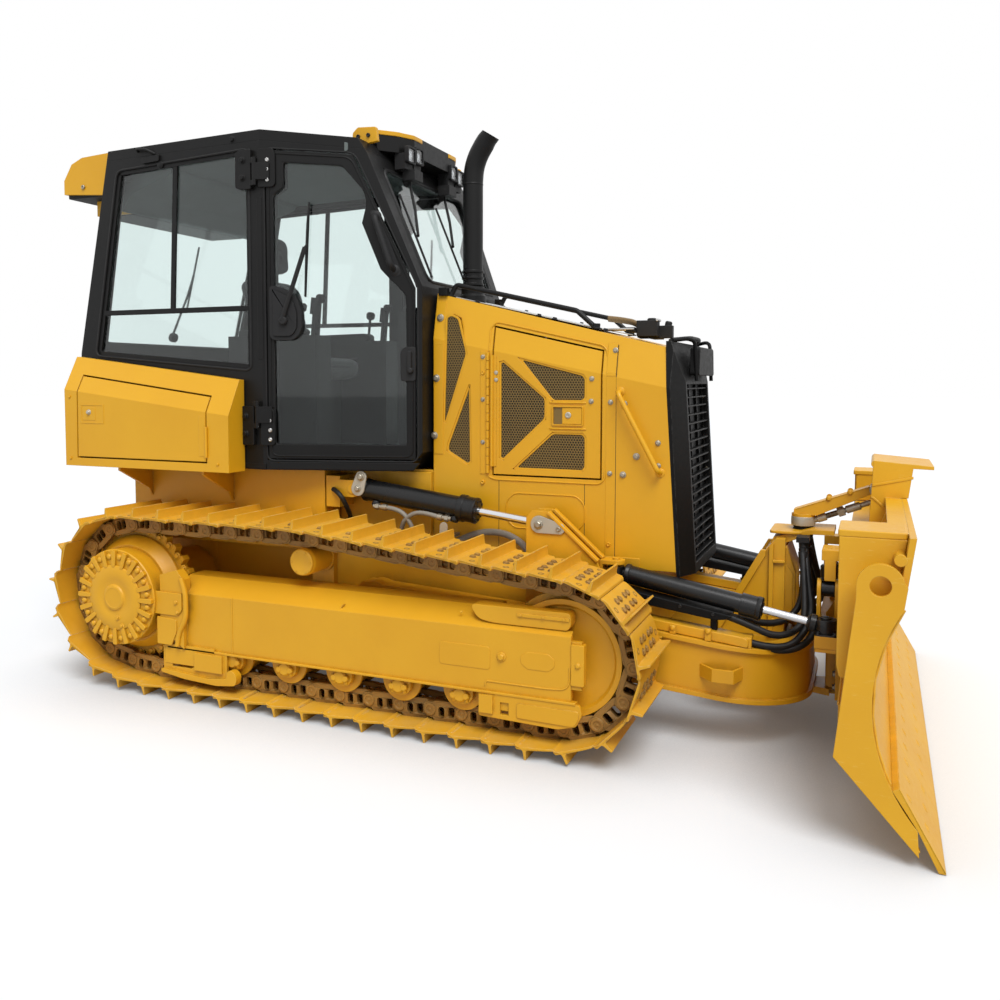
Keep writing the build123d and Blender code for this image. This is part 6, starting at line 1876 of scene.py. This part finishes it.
def linkage_details():
    """Steps, covers and plates of the C-frame, the tower, the top link and the carrier."""
    step = Shape()
    plan = [
        (2983, 538), (2992, 538), (3058, 592), (3132, 592), (3160, 520), (3169, 520), (3140, 602),
        (3050, 602),
    ]
    step.xy(plan, 300, 358)
    twin("c_frame_step", step, FRAME_YELLOW, "lift_frame", bevel=2.5)
    cover = Shape()
    outline = [
        (2700, arm_top(2700) + 2), (3186, arm_top(3186) + 2), (3190, arm_top(3190) + 34), (3170, 486),
        (2700, 536),
    ]
    cover.xz(rounded(outline, 8, 2), 462, 540)
    cover.xy(rounded(rectangle(3140, 3200, 455, 530), 6), 438, 486)
    twin("c_frame_hose_cover", cover, FRAME_YELLOW, "lift_frame", bevel=4, segments=3)
    clamps = Shape()
    for x in (2860, 3010):
        clamps.xz([(x, arm_top(x)), (x + 26, arm_top(x)), (x + 26, 512), (x, 512)], 538, 552)
        clamps.bolt(at(x + 13, 552, 500), OUT, 16)
    twin("c_frame_clamps", clamps, FRAME_YELLOW, "lift_frame", bevel=1)
    welds = Shape()
    for start, end in (((1500, 561, 476), (2830, 561, 455)), ((1500, 561, 376), (2760, 561, 254))):
        points = [at(*start), at(*end)]
        welds.tube(points, 5, 6)
    twin("c_frame_welds", welds, FRAME_YELLOW, "lift_frame", bevel=0)

    tower = Shape()
    for y0, y1 in ((142, 164), (-164, -142)):
        slope = [(2985, 404), (2985, 424), (3190, 796), (3212, 796), (3212, 772), (3010, 404)]
        tower.xz(slope, y0, y1)
        tower.xz([(3226, 404), (3246, 404), (3246, 830), (3226, 812)], y0, y1)
        tower.box(3240, 3296, y0, y1, 740, 754)
        tower.box(3240, 3296, y0, y1, 470, 484)
    tower.xz([(3290, 480), (3340, 480), (3340, 700), (3300, 812), (3290, 812)], -128, 128)
    tower.xy(
        rounded(
            [(3222, -120), (3330, -120), (3420, -78), (3440, 0), (3420, 78), (3330, 120), (3222, 120)], 24,
        ), 868, 880,
    )
    make("tower_plates", tower, FRAME_YELLOW, "lift_frame", bevel=2.5)
    panel = Shape()
    for side in (-1, 1):
        panel.xz(
            rounded([(3254, 494), (3330, 494), (3330, 690), (3300, 730), (3254, 730)], 6), side * 129,
            side * 132,
        )
    make("tower_panels", panel, FRAME_YELLOW, "lift_frame", bevel=1)

    band = Shape()
    band.lathe(at(3360, 0, 896), UP, [(0, 46), (2, 53), (14, 54), (34, 54), (42, 53), (46, 47)], 40)
    make("top_link_band", band, PALE_PLATE, "swing", bevel=0.8)
    boot = Shape()
    boot.lathe(at(3360, 0, 880), UP, [(-1, 34), (0, 44), (4, 46), (8, 41), (12, 45), (17, 42)], 36)
    make("top_link_boot", boot, RUBBER, "lift_frame", bevel=0)
    screw = Shape()
    start, end = at(3404, 0, 922), at(3650, 0, 1018)
    along_screw = (end - start).normalized()
    screw.tube([start, end], 12, 12)
    screw.lathe(start, along_screw, [(0, 15), (18, 15), (20, 19), (58, 19), (60, 15)], 20)
    screw.lathe(start, along_screw, [(112, 14), (114, 24), (142, 24), (144, 14)], 6)
    screw.lathe(start, along_screw, [(150, 13), (152, 18), (214, 18), (216, 13)], 20)
    make("top_link_screw", screw, PALE_PLATE, "swing", bevel=0.6)
    threads = Shape()
    for i in range(14):
        place = start + along_screw * (0.062 + 0.0034 * i)
        threads.lathe(place, along_screw, [(0, 12), (1.7, 14), (3.4, 12)], 14)
    make("top_link_thread", threads, ZINC, "swing", bevel=0)
    pads = Shape()
    for x, z in ((3470, 1029), (3560, 1061)):
        for side in (-1, 1):
            pads.bolt(at(x, side * 38, z), (0, side, 0), 18)
    pads.prism(
        [at(3330, -40, 972), at(3330, 40, 972), at(3640, 40, 1088), at(3640, -40, 1088)],
        Vector((-0.001, 0, 0.003)),
    )
    make("top_link_plates", pads, FRAME_YELLOW, "swing", bevel=0.8)

    carrier = Shape()
    for side in (-1, 1):
        carrier.xz([(3476, 520), (3538, 520), (3538, 600), (3520, 612), (3476, 540)], side * 176, side * 190)
        carrier.box(3478, 3536, side * 60, side * 74, 172, 434)
        carrier.box(3450, 3538, side * 500, side * 516, 452, 470)
    carrier.box(3462, 3548, -372, -236, 806, 852)
    carrier.box(3534, 3547, -366, -300, 518, 808)
    carrier.box(3474, 3520, -372, -352, 720, 808)
    make("carrier_plates", carrier, FRAME_YELLOW, "swing", bevel=3, segments=3)
    slots = Shape()
    for y in (-330, -290):
        for x in (3486, 3512):
            slots.xy(rounded(rectangle(x, x + 16, y, y + 26), 4), 849, 853)
    make("carrier_slots", slots, FRAME_YELLOW, "swing", bevel=0.5)
    bolts = Shape()
    for z in (190, 250, 360, 420):
        for side in (-1, 1):
            bolts.bolt(at(3520, side * 120, z), BACK, 26)
    for side in (-1, 1):
        bolts.bolt(at(3500, side * 240, 520), UP, 24)
    make("carrier_bolts", bolts, ZINC, "swing", bevel=0.5)
    block = Shape()
    block.lathe(at(3490, -330, 726), UP, [(0, 26), (4, 34), (50, 34), (56, 28)], 24)
    block.box(3464, 3516, -300, -180, 716, 748)
    block.lathe(at(3490, -210, 748), UP, [(0, 16), (20, 16), (24, 12)], 16)
    make("tilt_valve_block", block, CYLINDER_BLACK, "tilt_barrel", bevel=2)
    ring = Shape()
    for start, radius in ((-262, 43), (60, 44)):
        ring.lathe(at(3490, start, 680), OUT, [(0, 38), (4, radius), (20, radius), (24, 38)], 32)
    make("tilt_barrel_rings", ring, CYLINDER_BLACK, "tilt_barrel", bevel=0.8)


# ---------------------------------------------------------------- blade
def mould_x(z):
    """Front face of the mouldboard at a height."""
    if z > MOULD_BEND_Z:
        return 3758 + (z - MOULD_BEND_Z) * 32 / 231
    return MOULD_X - (MOULD_RADIUS ** 2 - (z - MOULD_Z) ** 2) ** 0.5


def blade_details():
    """Plates, trim, edge and seams of the blade."""
    top = Shape()
    outline = rectangle(3552, 3764, 972, 1198)
    top.xy(rounded(outline, 10), 1046, 1069)
    top.xz([(3566, 905), (3566, 1047), (3766, 1047), (3738, 905)], 976, 990)
    twin("blade_top_plates", top, BLADE_YELLOW, "blade", bevel=4, segments=3)
    sides = Shape()
    cheek = [
        (3556, 1047), (3556, 610), (3566, 572), (3600, 560), (3640, 560), (3672, 700), (3730, 834),
        (3766, 1047),
    ]
    sides.xz(cheek, 1181, 1197)
    twin("blade_side_plates", sides, BLADE_YELLOW, "blade", bevel=3)
    bars = Shape()
    bars.tube([at(3744, 1190, 992), at(3744, 1274, 992)], 20, 20)
    bars.xz(rounded([(3562, 340), (3580, 340), (3826, 60), (3814, 52)], 3), 1262, 1288)
    twin("blade_end_bars", bars, BLADE_YELLOW, "blade", bevel=2)
    head = Shape()
    head.tube([at(3660, -204, 1207), at(3660, 204, 1207)], 15, 16)
    for y in (-208, 205):
        head.prism(
            [at(3652, y, 1110), at(3652, y, 1122), at(3812, y, 1160), at(3812, y, 1148)],
            Vector((0, 0.003, 0)),
        )
        head.xz([(3646, 1066), (3660, 1066), (3730, 1004), (3730, 990)], y, y + 4)
    make("blade_head_trim", head, BLADE_YELLOW, "blade", bevel=2)
    pin = Shape()
    pin.tube([at(3668, -186, 1077), at(3668, 186, 1077)], 15, 20)
    for side in (-1, 1):
        pin.lathe(at(3668, side * 42, 1077), (0, side, 0), [(0, 28), (10, 28), (14, 24), (14, 16)], 28)
    make("blade_head_pin", pin, PALE_PLATE, "blade", bevel=0.8)

    # Plough bolts of the cutting edge, with their nuts behind
    upper, lower = Vector((3758.9, 0, 256.0)), Vector((3902.0, 0, 3.0))
    run = (lower - upper).normalized()
    out = Vector((-run.z, 0, run.x))
    heads, nuts = Shape(), Shape()
    count = 17
    for row, share in enumerate((0.22, 0.62)):
        for i in range(count):
            y = -1216 + 152 * i + (0 if row == 0 else 30)
            if abs(y) > BLADE_HALF - 40:
                continue
            spot = upper.lerp(lower, share)
            place = at(spot.x, y, spot.z)
            heads.lathe(place, out, [(-6, 14), (2.0, 17), (3.6, 15.5), (3.0, 9), (-1, 8)], 20)
            if row == 0:
                nuts.bolt(place - out * 0.024, -out, 26)
    make("edge_bolts", heads, BLADE_YELLOW, "blade", slot="worn_paint", bevel=0)
    make("edge_nuts", nuts, BLADE_YELLOW, "blade", slot="worn_paint", bevel=0)
    edge = Shape()
    for start, end in ((-BLADE_HALF, -856), (-853, 853), (856, BLADE_HALF)):
        face = [(3760.4, 256.8), (3901.8, 7.5), (3898, 5), (3757, 254)]
        edge.xz(face, start, end)
    make("edge_plates", edge, BLADE_YELLOW, "blade", slot="worn_paint", bevel=1)
    corner = Shape()
    seam = [at(mould_x(z) + 1.5, BLADE_HALF - 18, z) for z in (262, 300, 380, 480, 600, 720, MOULD_BEND_Z)]
    corner.tube(seam, 5, 8)
    twin("blade_seam_welds", corner, BLADE_YELLOW, "blade", bevel=0)
    ribs = Shape()
    for y in (-900, -340, 340, 900):
        ribs.xz([(3720, 898), (3660, 898), (3716, 1046), (3752, 1046)], y - 8, y + 8)
        ribs.xz([(3580, 470), (3648, 470), (3654, 620), (3698, 775), (3580, 775)], y - 8, y + 8)
    ribs.tube([at(3566, -1178, 775), at(3566, 1178, 775)], 5, 6)
    ribs.tube([at(3566, -1178, 470), at(3566, 1178, 470)], 5, 6)
    make("blade_back_ribs", ribs, BLADE_YELLOW, "blade", bevel=1.5)


# ---------------------------------------------------------------- rear and belly
def rear_details():
    """Plates, bolts, caps and lamps of the rear, and the plates under the belly."""
    rear = Shape()
    rear.yz(rounded(rectangle(-470, 470, 770, 1070), 40), -98, -89)
    rear.yz(
        rounded([(-250, 420), (250, 420), (290, 470), (290, 690), (-290, 690), (-290, 470)], 30), -264, -254,
    )
    rear.lathe(at(-264, 0, 640), BACK, [(0, 52), (8, 52), (14, 44), (14, 30), (8, 26)], 36)
    for side in (-1, 1):
        rear.box(-330, -254, side * 86, side * 98, 430, 620)
        rear.xz([(-262, 400), (-262, 690), (-200, 709), (-90, 709), (-90, 400)], side * 401, side * 409)
        rear.xz([(-100, 712), (-100, 760), (1120, 760), (1120, 712)], side * 561, side * 568)
    make("rear_plates", rear, FRAME_YELLOW, bevel=3, segments=3)
    bolts = Shape()
    for y in (-430, -215, 0, 215, 430):
        for z in (796, 1044):
            bolts.bolt(at(-98, y, z), BACK, 24)
    for y, z in (
        (-230, 450), (230, 450), (-262, 560), (262, 560), (-262, 666), (262, 666), (-120, 666), (120, 666),
    ):
        bolts.bolt(at(-264, y, z), BACK, 24)
    for x in range(0, 1100, 180):
        for side in (-1, 1):
            bolts.bolt(at(x, side * 568, 736), (0, side, 0), 22)
    make("rear_bolts", bolts, FRAME_YELLOW, bevel=0.6)
    filler = Shape()
    filler.lathe(
        at(-98, 330, 930), (-1, 0, 0.35), [(-6, 42), (14, 42), (18, 50), (40, 50), (46, 44), (46, 12)], 30,
    )
    filler.lathe(at(-98, -330, 930), BACK, [(-4, 30), (6, 30), (10, 24), (10, 6)], 24)
    for y in (-120, 0, 120):
        filler.lathe(
            at(-98, y, 920), BACK, [(-4, 22), (6, 22), (8, 16), (30, 16), (34, 20), (48, 20), (50, 12)], 20,
        )
    make("rear_caps", filler, PLASTIC, bevel=1.5)
    lamps, lenses = Shape(), Shape()
    for side in (-1, 1):
        lamps.yz(rounded(rectangle(side * 470, side * 590, 1210, 1290), 10), -350, -318)
        lenses.yz(rounded(rectangle(side * 480, side * 580, 1220, 1280), 8), -354, -348)
    make("rear_lamp_bodies", lamps, PLASTIC, bevel=2.5)
    make("rear_lamp_lenses", lenses, RED_LENS, bevel=2)
    belly = Shape()
    for x0, x1 in ((345, 1080), (1090, 1840), (1850, 2690)):
        belly.xy(rounded(rectangle(x0, x1, -380, 380), 14), 328, 336)
        middle = (x0 + x1) / 2
        belly.xy(rounded(rectangle(middle - 150, middle + 150, -120, 120), 20), 322, 329)
    make("belly_plates", belly, FRAME_YELLOW, bevel=2)
    bolts = Shape()
    for x0, x1 in ((345, 1080), (1090, 1840), (1850, 2690)):
        for i in range(5):
            x = x0 + 30 + (x1 - x0 - 60) * i / 4
            for side in (-1, 1):
                bolts.bolt(at(x, side * 350, 328), DOWN, 26)
    make("belly_bolts", bolts, ZINC, bevel=0)
    for side, sign in (("left", 1), ("right", -1)):
        route = [(1180, 560, 1020), (1240, 600, 1010), (1260, 560, 930), (1230, 470, 860), (1160, 420, 780)]
        line(f"frame_hose_{side}", [at(x, sign * y, z) for x, y, z in route], 12, RUBBER)
    fill = Shape()
    for side in (-1, 1):
        fill.box(1135, 1650, side * 402, side * 420, 800, 1110)
        fill.box(1655, 2690, side * 392, side * 404, 712, 760)
    make("frame_side_plates", fill, FRAME_YELLOW, bevel=3)


def cab_lining():
    """Dark headlining, floor panels, rear louvres and floor mat seen through the glass."""
    lining = Shape()
    lining.xz(
        rounded([(-200, 2660), (880, 2690), (1300, 2650), (1300, 2690), (880, 2740), (-80, 2725)], 10), -600,
        600,
    )
    lining.xz(
        rounded([(-150, 2460), (-60, 2560), (200, 2640), (200, 2700), (-110, 2700), (-190, 2560)], 20), -560,
        560,
    )
    make("cab_lining", lining, LINING, bevel=5, segments=3)
    low = Shape()
    low.xy([(-250, -600), (860, -640), (1560, -400), (1560, 400), (860, 640), (-250, 600)], 1177, 1184)
    low.yz(rounded(rectangle(-430, 430, 1180, 1930), 20), 1584, 1600)
    make("cab_floor_panels", low, FLOOR_LINING, bevel=5, segments=3)
    back = Shape()
    back.yz(rounded([(-430, 1330), (430, 1330), (400, 1600), (-400, 1600)], 24), -344, -322)
    for i in range(7):
        z = 1366 + 32 * i
        back.prism(
            [at(-352, -360, z), at(-352, 360, z), at(-340, 360, z + 18), at(-340, -360, z + 18)],
            Vector((0.004, 0, 0)),
        )
    for y in (-402, 402):
        for z in (1352, 1572):
            back.cap_screw(at(-344, y * (1 if z < 1400 else 0.95), z), BACK, 18)
    make("cab_rear_louvres", back, BLACK, bevel=2)
    tread = Shape()
    for i in range(-5, 6):
        tread.box(-160, 840, i * 100 - 3, i * 100 + 3, 1184, 1187)
    make("cab_floor_mat", tread, RUBBER, bevel=0)


locker_details()
lift_cylinder_details()
angle_cylinder_details()
linkage_details()
blade_details()
rear_details()
cab_lining()
